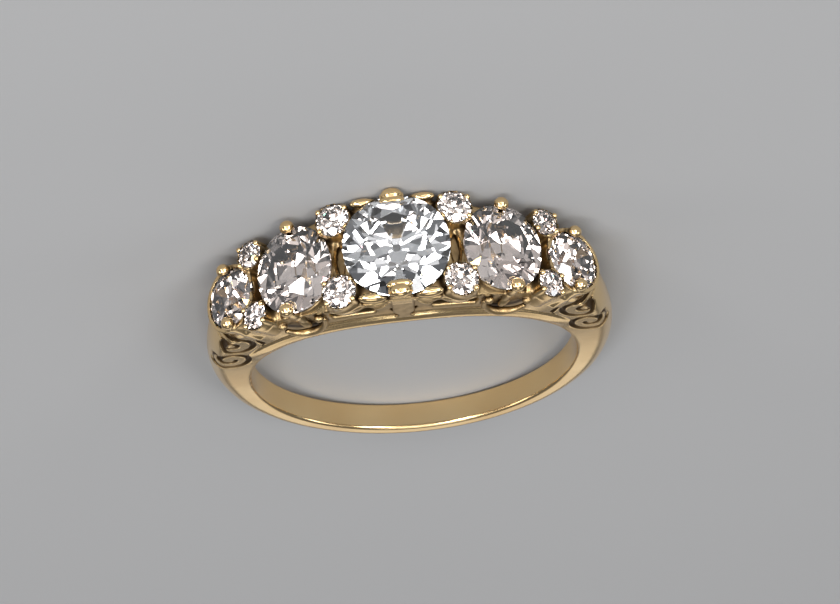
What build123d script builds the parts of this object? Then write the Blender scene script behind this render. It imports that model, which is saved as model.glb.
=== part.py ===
"""Five stone half hoop ring: one cast and carved gold mount with five graduated old cut stones and eight small
accent stones.

The ring is modelled about the centre of its finger hole, with the finger axis along Z, the stones towards -Y
and the side that shows towards +Z. It is then laid on its side, where it rests on the centre stone's lower claw
and on the back of the shank. Angles run round the finger from the centre stone, positive towards -X.
"""
from build123d import *
import math
import os

# Hoop, in millimetres
bore_radius = 8.5
shank_thickness = 1.2
shank_half_width = 0.74
head_thickness = 4.1
rail_half_width = 2.15
wall_margin = 0.0

# Main stones: size along the row and across it
centre_length, centre_width = 5.4, 5.4
second_length, second_width = 4.15, 4.6
end_length, end_width = 3.1, 3.1
centre_second_gap = 0.82
second_end_gap = 0.72
girdle_proud = 0.4

# Accent stones between them
inner_accent_size = 1.7
outer_accent_size = 1.4
inner_accent_gap = 0.1
outer_accent_gap = 0.18
accent_lean = 3.0
accent_sink = -0.18

# Cut of the stones, as shares of the stone's mean width, and facet angles in degrees
girdle_share = 0.03
crown_share = 0.165
pavilion_share = 0.43
table_share = 0.52
culet_share = 0.93
bezel_reach = 1.06
star_drop = 14.0
upper_half_rise = 5.0
lower_half_length = 0.66
cushion_squareness = 0.02
main_facets = 8

# Seats and open backs
seat_clearance = 0.03
seat_bulge = 0.006
seat_foot_share = 0.12
seat_crown_margin = 0.14
azure_share = 0.56
accent_azure_share = 0.35
accent_cup_margin = 0.09
accent_cup_rise = 0.08
accent_cup_height = 1.6
accent_cup_taper = 0.86
cup_drop = 0.14
cup_height = 1.5
cup_taper = 0.62
cup_margin = -0.06
end_rim_margin = 0.18
end_rim_rise = 0.16

# Claws
centre_claw_width = 1.2
centre_claw_radius = 0.36
second_claw_radius = 0.34
end_claw_radius = 0.32
claw_rise = 0.42
claw_overlap = 0.06
claw_foot_height = 1.3
end_claw_foot_height = 2.2
claw_foot_sink = 0.33
front_claw_lead = 2.0

# Gallery
slot_foot_height = 1.55
slot_rise = 1.25
slot_half_span = 1.15
eyelet_radius = 0.36
eyelet_offset = 0.86
eyelet_drop = 0.85
scroll_wire_radius = 0.2
hanging_scroll_radius = 1.0
hanging_scroll_height = 2.4
hanging_scroll_lead = 3.0
leaf_length = 1.4
leaf_radius = 0.2
leaf_table = [
    # length, drop below the girdle (both as shares of leaf_length), droop towards the finger
    (1.00, 0.42, 5),
    (0.80, 0.65, 38),
]

# Carved shoulders
groove_width = 0.24
groove_depth = 0.26
scroll_step = 0.3
scroll_half_turns = 3
scroll_table = [
    # angle, height of the middle above the finger hole, radius (both as shares of the hoop's thickness there)
    (56, 0.64, 0.28),
    (67, 0.55, 0.28),
]

# Half hoop sections: height and half widths run from 0 at the back of the shank to 1 at the head; wall is the
# share of the section's height where its straight side ends
hoop_table = [
    # angle, height, foot width, crown width, wall
    (0, 1.000, 1.000, 1.000, 0.95),
    (24, 0.862, 0.857, 0.830, 0.95),
    (45, 0.793, 0.607, 0.560, 0.87),
    (58, 0.680, 0.450, 0.400, 0.78),
    (70, 0.480, 0.320, 0.265, 0.68),
    (82, 0.290, 0.214, 0.165, 0.58),
    (95, 0.150, 0.120, 0.090, 0.48),
    (115, 0.050, 0.036, 0.020, 0.42),
    (140, 0.000, 0.000, 0.000, 0.40),
    (160, 0.000, 0.000, 0.000, 0.40),
    (180, 0.000, 0.000, 0.000, 0.40),
]


def mixed(low, high, share):
    """Value at a share of the way from low to high."""
    return low + (high - low) * share


def hoop_sizes(angle):
    """Top radius, wall radius, foot half width and crown half width of the hoop at an angle."""
    angle = abs(angle)
    for low, high in zip(hoop_table, hoop_table[1:]):
        if low[0] <= angle <= high[0]:
            part_way = (angle - low[0]) / (high[0] - low[0])
            height, foot, crown, wall = (mixed(a, b, part_way) for a, b in zip(low[1:], high[1:]))
            break
    thickness = mixed(shank_thickness, head_thickness, height)
    crown_half_head = centre_width / 2 + wall_margin
    return (
        bore_radius + thickness,
        bore_radius + thickness * wall,
        mixed(shank_half_width, rail_half_width, foot),
        mixed(shank_half_width, crown_half_head, crown),
    )


def outward(angle):
    """Direction away from the finger at an angle."""
    turn = math.radians(angle)
    return Vector(-math.sin(turn), -math.cos(turn), 0)


def along(angle):
    """Direction round the row at an angle, towards smaller angles."""
    turn = math.radians(angle)
    return Vector(math.cos(turn), -math.sin(turn), 0)


def around(radius, angle, side=0.0):
    """Point at a radius and an angle, side millimetres towards the viewer."""
    return outward(angle) * radius + Vector(0, 0, side)


def stone_plane(radius, angle, side=0.0, lean=0.0):
    """Plane of a stone's girdle: X round the row, Y across it and Z out of the table."""
    flat = Plane(origin=around(radius, angle, side), x_dir=along(angle), z_dir=outward(angle))
    return flat.rotated((-lean, 0, 0))


def hoop_section(angle):
    """Cross section of the hoop: a flat foot inside the bore, two straight walls and half an ellipse on top."""
    top, wall, foot_half, crown_half = hoop_sizes(180 - abs(180 - abs(angle)))
    inside = bore_radius - shank_thickness / 2
    slope = (crown_half - foot_half) / (wall - bore_radius)
    inside_half = foot_half - slope * (bore_radius - inside)
    crown = EllipticalCenterArc((wall, 0), top - wall, crown_half, start_angle=-90, arc_size=180)
    walls = Polyline((wall, crown_half), (inside, inside_half), (inside, -inside_half), (wall, -crown_half))
    cross = Plane(origin=(0, 0, 0), x_dir=outward(angle), z_dir=-along(angle))
    return cross * make_face(crown + walls)


def hoop_body():
    """Whole hoop: one half lofted a little past the mirror plane at both ends, trimmed there and mirrored."""
    ends = [-hoop_table[1][0]] + [row[0] for row in hoop_table] + [360 - hoop_table[-2][0]]
    half = loft([hoop_section(angle) for angle in ends])
    width = 2 * (bore_radius + head_thickness + girdle_proud)
    keep = Pos(-width / 2, 0, 0) * Box(width, 2 * width, width)
    half = half & keep
    return half + mirror(half, about=Plane.YZ)


def girdle_radius(angle):
    """Height of a main stone's girdle above the finger axis."""
    return hoop_sizes(angle)[0] + girdle_proud


def row_angle(start, arc):
    """Angle that lies an arc's length further along the row of stones."""
    return start + math.degrees(arc / girdle_radius(start))


def meeting_point(distance, first, second):
    """Where circles of two radii, a distance apart, meet: how far along from the first, and how far aside."""
    along_row = (distance**2 + first**2 - second**2) / (2 * distance)
    return along_row, math.sqrt(first**2 - along_row**2)


def support(azimuth, length, width):
    """Distance of the girdle's tangent plane from the stone's axis: an oval, a little squarer at 45 degrees."""
    turn = math.radians(azimuth)
    oval = math.hypot(length / 2 * math.cos(turn), width / 2 * math.sin(turn))
    return oval * (1 + cushion_squareness * math.sin(2 * turn) ** 2)


def facet(azimuth, tilt, reach, height):
    """Facet facing an azimuth, tilted from level, through the point at that reach and height."""
    turn, lean = math.radians(azimuth), math.radians(tilt)
    normal = (math.sin(lean) * math.cos(turn), math.sin(lean) * math.sin(turn), math.cos(lean))
    return normal, reach * math.sin(lean) + height * math.cos(lean)


def stone_facets(length, width):
    """Planes of an old cut stone: table, stars, bezels, halves, girdle, pavilion mains and culet."""
    mean = (length + width) / 2
    girdle = mean * girdle_share / 2
    table_height = girdle + mean * crown_share
    depth = mean * pavilion_share
    step = 360 / main_facets
    bezel_tilt = math.degrees(math.atan2(mean * crown_share, mean / 2 * (1 - table_share * bezel_reach)))
    main_tilt = math.degrees(math.atan2(depth, mean / 2))
    ratio = math.cos(math.radians(step / 4)) / math.cos(math.radians(step / 2))
    lower_slope = (1 - (1 - lower_half_length) * ratio) / lower_half_length
    lower_tilt = math.degrees(math.atan(math.tan(math.radians(main_tilt)) / lower_slope))
    planes = [((0, 0, 1), table_height), ((0, 0, -1), girdle + depth * culet_share)]
    for k in range(main_facets):
        bezel, star = k * step, (k + 0.5) * step
        star_reach = support(star, length, width) * table_share * math.cos(math.radians(step / 2))
        planes.append(facet(star, bezel_tilt - star_drop, star_reach, table_height))
        planes.append(facet(bezel, bezel_tilt, support(bezel, length, width), girdle))
        planes.append(facet(bezel, 180 - main_tilt, support(bezel, length, width), -girdle))
        for half in (bezel + step / 4, bezel + 3 * step / 4):
            reach = support(half, length, width)
            planes.append(facet(half, bezel_tilt + upper_half_rise, reach, girdle))
            planes.append(facet(half, 180 - lower_tilt, reach, -girdle))
        for rim in range(4):
            azimuth = bezel + (rim + 0.5) * step / 4
            planes.append(facet(azimuth, 90, support(azimuth, length, width), 0))
    return planes


def dot(first, second):
    """Scalar product of two triples."""
    return first[0] * second[0] + first[1] * second[1] + first[2] * second[2]


def plane_square(normal, distance, reach):
    """Corners of a large square on a plane, turning left about its normal."""
    centre = Vector(*normal) * distance
    flat = Plane(origin=centre, z_dir=normal)
    corners = [(1, 1), (-1, 1), (-1, -1), (1, -1)]
    return [tuple(centre + flat.x_dir * (a * reach) + flat.y_dir * (b * reach)) for a, b in corners]


def kept_behind(polygon, normal, distance):
    """Part of a polygon that lies behind a plane."""
    kept = []
    for start, end in zip(polygon, polygon[1:] + polygon[:1]):
        here, there = dot(start, normal) - distance, dot(end, normal) - distance
        if here <= 0:
            kept.append(start)
        if here * there < 0:
            share = here / (here - there)
            kept.append(tuple(a + (b - a) * share for a, b in zip(start, end)))
    return kept


def cut_stone(length, width):
    """Faceted stone about its girdle's centre: each facet's plane trimmed by all the others."""
    planes = stone_facets(length, width)
    faces = []
    for normal, distance in planes:
        polygon = plane_square(normal, distance, length + width)
        for other, limit in planes:
            if other != normal and polygon:
                polygon = kept_behind(polygon, other, limit)
        if len(polygon) > 2:
            faces.append(Face(Wire.make_polygon([Vector(*point) for point in polygon], close=True)))
    return Solid(Shell(faces))


def main_stones():
    """Main stones by name, each as its angle, girdle radius, length and width."""
    centre = girdle_radius(0)
    second_angle = row_angle(0, centre_length / 2 + centre_second_gap + second_length / 2)
    end_angle = row_angle(second_angle, second_length / 2 + second_end_gap + end_length / 2)
    return {
        "centre": (0.0, centre, centre_length, centre_width),
        "second": (second_angle, girdle_radius(second_angle), second_length, second_width),
        "end": (end_angle, girdle_radius(end_angle), end_length, end_width),
    }


mains = main_stones()


def accent_place(inside, outside, size, gap):
    """Angle, radius and side of an accent that touches two main stones but for a gap."""
    first, second = mains[inside], mains[outside]
    distance = math.radians(second[0] - first[0]) * (first[1] + second[1]) / 2
    reach_first = (first[2] + first[3]) / 4 + size / 2 + gap
    reach_second = (second[2] + second[3]) / 4 + size / 2 + gap
    along_row, aside = meeting_point(distance, reach_first, reach_second)
    angle = first[0] + math.degrees(along_row / ((first[1] + second[1]) / 2))
    return angle, hoop_sizes(angle)[0] + girdle_proud - accent_sink, aside


accents = {
    "inner": accent_place("centre", "second", inner_accent_size, inner_accent_gap) + (inner_accent_size,),
    "outer": accent_place("second", "end", outer_accent_size, outer_accent_gap) + (outer_accent_size,),
}


def stone_places():
    """Every stone as name, length, width, plane and back, with left and right as in the photograph.

    The back is the share of the stone's size that stays open below it, and how far that opening runs.
    """
    angle, radius, length, width = mains["centre"]
    back = (azure_share, radius - bore_radius / 2)
    places = [("centre_diamond", length, width, stone_plane(radius, angle), back)]
    for name in ("second", "end"):
        angle, radius, length, width = mains[name]
        back = (azure_share, radius - bore_radius / 2)
        for hand, sign in (("left", -1), ("right", 1)):
            places.append((f"{name}_diamond_{hand}", length, width, stone_plane(radius, sign * angle), back))
    for name, (angle, radius, aside, size) in accents.items():
        slot_reach = radius - bore_radius - slot_foot_height - slot_rise / 2
        back = (accent_azure_share, slot_reach if name == "inner" else size * pavilion_share)
        for hand, sign in (("left", -1), ("right", 1)):
            for face, side in (("front", 1), ("back", -1)):
                plane = stone_plane(radius, sign * angle, side * aside, side * accent_lean)
                places.append((f"{name}_accent_{hand}_{face}", size, size, plane, back))
    return places


def oval(length, width, height):
    """Oval of a stone's outline at a height above its girdle."""
    return Pos(0, 0, height) * Ellipse(length / 2, width / 2)


def stone_seat(length, width, back):
    """Space cut for a stone: an open tube, a cone up to its girdle, a band round it and a cone over its crown."""
    mean = (length + width) / 2
    girdle = mean * girdle_share / 2
    round_share = 1 + cushion_squareness + seat_bulge
    back_share, back_reach = back
    cone_part = (round_share - back_share) / (round_share - seat_foot_share)
    cone_end = -girdle - mean * pavilion_share * cone_part
    levels = [
        (-girdle - back_reach, back_share),
        (cone_end, back_share),
        (-girdle, round_share),
        (girdle, round_share),
        (girdle + mean * crown_share, table_share + seat_crown_margin),
    ]
    ovals = [
        oval(length * share + 2 * seat_clearance, width * share + 2 * seat_clearance, height)
        for height, share in levels
    ]
    return loft(ovals, ruled=True)


def stone_cup(length, width):
    """Tapered cup that carries a main stone just below its girdle."""
    rim = oval(length + 2 * cup_margin, width + 2 * cup_margin, -cup_drop)
    foot = oval(length * cup_taper, width * cup_taper, -cup_drop - cup_height)
    return loft([foot, rim])


def end_rim():
    """Raised bezel round an end stone."""
    size = (end_length + end_width) / 2 + 2 * end_rim_margin
    height = cup_height + end_rim_rise
    return Pos(0, 0, end_rim_rise - height / 2) * Cylinder(size / 2, height)


def accent_cup(size):
    """Tapered bezel round an accent stone."""
    top_radius = size / 2 + accent_cup_margin
    cone = Cone(top_radius * accent_cup_taper, top_radius, accent_cup_height)
    return Pos(0, 0, accent_cup_rise - accent_cup_height / 2) * cone


def round_rod(start, end, radius):
    """Rod from a flat foot to a round top about the end point."""
    reach = end - start
    sides = Polyline((0, reach.length + radius), (0, 0), (radius, 0), (radius, reach.length))
    tip = CenterArc((0, reach.length), radius, 0, 90)
    return Plane(origin=start, z_dir=reach) * revolve(Plane.XZ * make_face(sides + tip), Axis.Z)


def claw(angle, radius, width, claw_radius, side, foot_height=claw_foot_height):
    """Round claw: a rod up the wall whose round top laps over the stone."""
    top = around(radius + claw_rise, angle, side * (width / 2 - claw_overlap))
    foot_side = hoop_sizes(angle)[2] - claw_radius * claw_foot_sink
    foot = around(bore_radius + foot_height, angle, side * foot_side)
    return round_rod(foot, top, claw_radius)


def centre_claw(side):
    """Wide centre claw: a flat pillar up the wall under a bar with round ends."""
    half_bar = centre_claw_width / 2 - centre_claw_radius
    round_claw = claw(0, mains["centre"][1], centre_width, centre_claw_radius, side)
    ends = [Pos(hand * half_bar, 0, 0) * round_claw for hand in (-1, 1)]
    top = around(mains["centre"][1] + claw_rise, 0, side * (centre_width / 2 - claw_overlap))
    foot_side = rail_half_width - centre_claw_radius * claw_foot_sink
    foot = around(bore_radius + claw_foot_height, 0, side * foot_side)
    height = (top - foot).length
    web_plane = Plane(origin=foot, x_dir=(1, 0, 0), z_dir=top - foot)
    web = web_plane * Pos(0, 0, height / 2) * Box(2 * half_bar, 2 * centre_claw_radius, height)
    bar = Pos(*top) * Rot(0, 90, 0) * Cylinder(centre_claw_radius, 2 * half_bar)
    return ends + [web, bar]


def wall_plane(radius, angle, side):
    """Plane lying on the hoop's straight wall, X round the row, Z out of the wall."""
    top, wall, foot_half, crown_half = hoop_sizes(angle)
    spread = 4.0
    share = (radius - bore_radius) / (wall - bore_radius)
    width = mixed(foot_half, crown_half, share)
    ahead = hoop_sizes(abs(angle) + spread)
    behind = hoop_sizes(abs(angle) - spread)
    taper = (mixed(ahead[2], ahead[3], share) - mixed(behind[2], behind[3], share)) / (
        2 * radius * math.radians(spread)
    )
    flare = (crown_half - foot_half) / (wall - bore_radius)
    sign = 1 if angle > 0 else -1
    normal = Vector(0, 0, 1) + along(angle) * (sign * taper) - outward(angle) * flare
    normal = Vector(normal.X, normal.Y, side * normal.Z)
    return Plane(origin=around(radius, angle, side * width), x_dir=along(angle), z_dir=normal)


def hanging_scroll(angle, side):
    """Raised half ring that hangs under a second stone's claw."""
    lead = math.copysign(hanging_scroll_lead, angle)
    plane = wall_plane(bore_radius + hanging_scroll_height, angle + lead, side)
    ring = Torus(hanging_scroll_radius, scroll_wire_radius)
    lower = Pos(0, side * hanging_scroll_radius, 0) * Box(
        4 * hanging_scroll_radius, 2 * hanging_scroll_radius, 4 * scroll_wire_radius
    )
    return plane * (ring & lower)


def leaf(side, hand, length_share, drop_share, droop):
    """Raised leaf that points away from the centre claw along the wall."""
    length = leaf_length * length_share
    drop = leaf_length * drop_share
    root = around(mains["centre"][1] - drop, 0, side * (hoop_sizes(0)[3] - leaf_radius / 2))
    root += Vector(hand * (centre_claw_width / 2 - leaf_radius), 0, 0)
    direction = along(-hand * droop) * hand
    return Plane(origin=root, z_dir=direction) * Pos(0, 0, length / 2) * Cone(leaf_radius, leaf_radius / 2, length)


def gallery_slots():
    """Arched slots right through the head, below the inner accents."""
    middle = accents["inner"][0]
    foot = bore_radius + slot_foot_height
    half_span = math.degrees(slot_half_span / foot)
    slots = []
    for sign in (-1, 1):
        flat = [
            around(foot, sign * (middle - half_span)),
            around(foot, sign * middle),
            around(foot, sign * (middle + half_span)),
        ]
        arch = ThreePointArc(flat[2], around(foot + slot_rise, sign * middle), flat[0])
        face = make_face(ThreePointArc(*flat) + arch)
        slots.append(extrude(face, amount=centre_width, dir=(0, 0, 1), both=True))
    return slots


def eyelets():
    """Small round holes on both sides of each second stone's claws, in to the stone's seat."""
    angle, radius, _, width = mains["second"]
    holes = []
    for sign in (-1, 1):
        for hand in (-1, 1):
            middle = around(radius - eyelet_drop, sign * angle) + along(sign * angle) * (hand * eyelet_offset)
            holes.append(Pos(*middle) * Cylinder(eyelet_radius, 2 * width))
    return holes


def spiral(radius):
    """Scroll as flat bands: half circles that wind in, each smaller than the last by the same step."""
    step = radius * scroll_step
    bands = []
    for k in range(scroll_half_turns):
        odd = k % 2
        half_circle = CenterArc((-odd * step, 0), radius - k * step, 180 * odd, 180)
        bands.append(trace(half_circle, groove_width))
    return bands


def shoulder_grooves():
    """Two carved scrolls on each wall of both shoulders."""
    grooves = []
    for angle, height_share, radius_share in scroll_table:
        thickness = hoop_sizes(angle)[0] - bore_radius
        plane = wall_plane(bore_radius + thickness * height_share, angle, 1)
        for band in spiral(thickness * radius_share):
            grooves.append(extrude(plane * band, amount=groove_depth, both=True))
    grooves += [mirror(groove, about=Plane.XY) for groove in grooves]
    return grooves + [mirror(groove, about=Plane.YZ) for groove in grooves]


def gold_mount(stones):
    """The whole mount as one solid, with a seat for each stone."""
    added = []
    for name, (angle, radius, length, width) in mains.items():
        for sign in ((1,) if angle == 0 else (-1, 1)):
            plane = stone_plane(radius, sign * angle)
            added.append(plane * stone_cup(length, width))
            if name == "end":
                added.append(plane * end_rim())
            for side in (-1, 1):
                if name == "second":
                    lead = front_claw_lead if side > 0 else 0
                    added.append(claw(sign * (angle + lead), radius, width, second_claw_radius, side))
                    added.append(hanging_scroll(sign * angle, side))
                if name == "end":
                    end_claw = claw(sign * angle, radius, width, end_claw_radius, side, end_claw_foot_height)
                    added.append(end_claw)
    for side in (-1, 1):
        added += centre_claw(side)
        for hand in (-1, 1):
            added += [leaf(side, hand, *row) for row in leaf_table]
    added += [plane * accent_cup(length) for name, length, width, plane, back in stones if "accent" in name]
    body = hoop_body() + added
    seats = [plane * stone_seat(length, width, back) for name, length, width, plane, back in stones]
    bore = Cylinder(bore_radius, 4 * centre_width)
    return body - (seats + [bore] + gallery_slots() + eyelets() + shoulder_grooves())


def resting_tilt():
    """Angle by which the head lifts when the ring lies on its centre claw and on the back of its shank.

    Both touch the table as circles do, so the table is their common tangent.
    """
    claw_reach = mains["centre"][1] + claw_rise
    claw_side = centre_width / 2 - claw_overlap
    shank_reach = bore_radius + shank_thickness * hoop_table[-1][4]
    apart = math.hypot(claw_side, claw_reach + shank_reach)
    slope = math.atan2(claw_side, claw_reach + shank_reach)
    return math.degrees(slope + math.asin((centre_claw_radius - shank_half_width) / apart))


def laid_down(pieces):
    """Ring on its side, its lowest point at height 0 and the middle of its outline at the origin."""
    turned = {name: Rot(-resting_tilt(), 0, 0) * piece for name, piece in pieces.items()}
    box = Compound(list(turned.values())).bounding_box()
    middle = box.center()
    return {name: Pos(-middle.X, -middle.Y, -box.min.Z) * piece for name, piece in turned.items()}


def ring_pieces():
    """Every piece by name: the gold mount and thirteen stones."""
    places = stone_places()
    cuts = {(length, width): cut_stone(length, width) for name, length, width, plane, back in places}
    pieces = {"gold_mount": gold_mount(places).solids().sort_by(SortBy.VOLUME)[-1]}
    for name, length, width, plane, back in places:
        pieces[name] = plane * cuts[length, width]
    return pieces


if __name__ == "__main__":
    os.makedirs("parts", exist_ok=True)
    for name, piece in laid_down(ring_pieces()).items():
        export_step(piece, f"parts/{name}.step")
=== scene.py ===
"""Looks of the five stone half hoop ring: its cast gold, its cut diamonds, the floor, the light and the camera.

The gold is shaped about the middle of the finger hole, in millimetres, with the finger axis along Z and the stones
towards -Y, as the ring is before it is laid on its side. Its shape is a distance field, negative inside the gold.
A surface net on a grid of radius, angle and height turns the field into closed meshes, and a placement lays them
down in metres. Angles run round the finger from the centre stone, the same towards both sides.
"""
import logging
import math
from abc import ABC, abstractmethod
from dataclasses import dataclass
from enum import Enum

import bpy
import numpy as np
from mathutils import Matrix, Vector


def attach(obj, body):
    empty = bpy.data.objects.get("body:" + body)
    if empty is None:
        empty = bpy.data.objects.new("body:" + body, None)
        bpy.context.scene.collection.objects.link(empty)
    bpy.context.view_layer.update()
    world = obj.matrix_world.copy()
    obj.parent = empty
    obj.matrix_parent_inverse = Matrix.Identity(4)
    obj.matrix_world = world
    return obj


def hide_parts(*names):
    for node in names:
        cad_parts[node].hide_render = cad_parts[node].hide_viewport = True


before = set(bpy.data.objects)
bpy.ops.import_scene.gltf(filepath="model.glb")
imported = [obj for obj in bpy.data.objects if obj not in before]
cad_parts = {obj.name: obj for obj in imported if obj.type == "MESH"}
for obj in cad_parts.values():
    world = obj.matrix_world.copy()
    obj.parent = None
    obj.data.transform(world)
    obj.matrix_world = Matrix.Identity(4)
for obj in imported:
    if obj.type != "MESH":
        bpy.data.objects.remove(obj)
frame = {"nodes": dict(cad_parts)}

log = logging.getLogger("ring")

MM = 0.001
IMAGE_WIDTH = 840
IMAGE_HEIGHT = 604
TINY = 1e-6
Array = np.ndarray
AXIS = np.array([0.0, 0.0, 1.0])


@dataclass(frozen=True)
class RingSizes:
    """Driving sizes of the ring in millimetres and degrees, the same as those of the solids."""

    bore_radius: float = 8.5
    shank_thickness: float = 1.2
    shank_half_width: float = 0.74
    head_thickness: float = 4.1
    rail_half_width: float = 2.15
    girdle_proud: float = 0.4
    centre_second_gap: float = 0.82
    second_end_gap: float = 0.72
    inner_accent_gap: float = 0.1
    outer_accent_gap: float = 0.18
    accent_lean: float = 3.0
    accent_lift: float = 0.18
    girdle_share: float = 0.03
    crown_share: float = 0.165
    pavilion_share: float = 0.43
    table_share: float = 0.52
    cushion_squareness: float = 0.02
    claw_rise: float = 0.42
    claw_overlap: float = 0.06
    tilt: float = 5.756363
    shift_y: float = 2.194281
    shift_z: float = 1.640681


class Stone(Enum):
    """Stones of one half of the row, as size along the row and size across it in millimetres."""

    CENTRE = (5.4, 5.4)
    SECOND = (4.15, 4.6)
    END = (3.1, 3.1)
    INNER_ACCENT = (1.7, 1.7)
    OUTER_ACCENT = (1.4, 1.4)

    @property
    def length(self) -> float:
        """Size along the row."""
        return self.value[0]

    @property
    def width(self) -> float:
        """Size across the row."""
        return self.value[1]

    @property
    def mean(self) -> float:
        """Mean of both sizes."""
        return (self.length + self.width) / 2


MAIN_STONES = (Stone.CENTRE, Stone.SECOND, Stone.END)
ACCENTS = (Stone.INNER_ACCENT, Stone.OUTER_ACCENT)
NEIGHBOURS = tuple(zip(MAIN_STONES, MAIN_STONES[1:]))


def smooth_min(first: Array, second: Array, blend: float) -> Array:
    """Lower of two fields, rounded where they are within the blend k: min(a, b) - max(k - |a - b|, 0)^2 / 4k."""
    near = np.maximum(blend - np.abs(first - second), 0)
    return np.minimum(first, second) - near * near / (4 * blend)


def smooth_max(first: Array, second: Array, blend: float) -> Array:
    """Higher of two fields with the same rounding as smooth_min."""
    return -smooth_min(-first, -second, blend)


def smooth_step(value: Array, low: float, high: float) -> Array:
    """Smooth ramp 3t^2 - 2t^3 with t = (value - low) / (high - low) kept within 0 and 1."""
    t = np.clip((value - low) / (high - low), 0, 1)
    return t * t * (3 - 2 * t)


def bump(value: Array, half_width: float) -> Array:
    """Round bump (1 - (v / w)^2)^2 for |v| < w, 0 outside and so 1 in its middle."""
    share = np.clip(1 - (value / half_width) ** 2, 0, 1)
    return share * share


def ellipse_form(reach: Array, slope: Array) -> Array:
    """Near distance k1 (k1 - 1) / k2 to an ellipse from its scaled radius k1 and the slope k2 of that radius."""
    return reach * (reach - 1) / np.maximum(slope, TINY)


def oval_reach(round_row: Array, across: Array, length: float, width: float) -> Array:
    """Distance from an oval's middle, scaled so that it is (length + width) / 4 on the oval itself."""
    return np.hypot(round_row / (length / 2), across / (width / 2)) * ((length + width) / 4)


def turned(along: Array, up: Array, degrees: float) -> tuple[Array, Array]:
    """Coordinates in axes turned by an angle a: x cos a + y sin a and y cos a - x sin a."""
    c, s = math.cos(math.radians(degrees)), math.sin(math.radians(degrees))
    return along * c + up * s, up * c - along * s


def outward(angle: float) -> Array:
    """Unit direction away from the finger axis at an angle in degrees."""
    return np.array([math.sin(math.radians(angle)), -math.cos(math.radians(angle)), 0.0])


def round_way(angle: float) -> Array:
    """Unit direction round the finger at an angle in degrees, away from the centre stone."""
    return np.array([math.cos(math.radians(angle)), math.sin(math.radians(angle)), 0.0])


@dataclass
class Points:
    """Points in the ring's own axes, folded to positive X because both sides of the row are mirror images.

    Attributes:
        x: Distance from the mirror plane.
        y: Towards the back of the shank.
        side: Along the finger axis, positive at the front.
    """

    x: Array
    y: Array
    side: Array

    def __post_init__(self) -> None:
        """Adds the distance from the finger axis, the angle from the centre stone and the unsigned height."""
        self.radius = np.hypot(self.x, self.y)
        self.angle = np.degrees(np.arctan2(self.x, -self.y))
        self.aside = np.abs(self.side)

    @classmethod
    def of(cls, places: Array) -> "Points":
        """Folds an array of places of shape (n, 3) in millimetres."""
        return cls(np.abs(places[:, 0]), places[:, 1], places[:, 2])

    def part(self, chosen: Array) -> "Points":
        """Points picked by a mask."""
        return Points(self.x[chosen], self.y[chosen], self.side[chosen])

    def offset(self, origin: Array, face: int) -> tuple[Array, Array, Array]:
        """Distances from an origin along the axes, the last one unsigned for face 0 and else towards that face."""
        aside = self.side * face if face else self.aside
        return self.x - origin[0], self.y - origin[1], aside - origin[2]

    def around(self, angle: float, radius: float) -> tuple[Array, Array]:
        """Distances on the wall from a spot given by its angle and radius, round the row and outwards."""
        return self.radius * np.radians(self.angle - angle), self.radius - radius


@dataclass(frozen=True)
class Place:
    """Local axes on the ring: X round the row, Y across it and Z outwards, on the front or on both sides.

    Attributes:
        angle: Angle from the centre stone in degrees.
        radius: Distance from the finger axis.
        side: Distance of the origin from the middle plane.
        lean: Angle by which Z leans towards the side.
        face: 1 for the front alone, -1 for the back alone, 0 for both.
    """

    angle: float
    radius: float
    side: float = 0.0
    lean: float = 0.0
    face: int = 0

    @property
    def origin(self) -> Array:
        """Origin in the ring's axes."""
        return outward(self.angle) * self.radius + AXIS * self.side

    def point(self, round_row: float, across: float, up: float) -> Array:
        """A point given in this place's own axes.

        Args:
            round_row: Distance round the row.
            across: Distance across it.
            up: Distance outwards.

        Returns:
            The point in the ring's axes.
        """
        lean, away = math.radians(self.lean), outward(self.angle)
        across_way = AXIS * math.cos(lean) - away * math.sin(lean)
        up_way = away * math.cos(lean) + AXIS * math.sin(lean)
        return self.origin + round_way(self.angle) * round_row + across_way * across + up_way * up

    def local(self, at: Points) -> tuple[Array, Array, Array]:
        """Local coordinates of points.

        Args:
            at: Points to turn into this place's axes.

        Returns:
            Distances round the row, across it and outwards.
        """
        dx, dy, dz = at.offset(self.origin, self.face)
        round_row, inwards = turned(dx, dy, self.angle)
        up, across = turned(-inwards, dz, self.lean)
        return round_row, across, up


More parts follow.
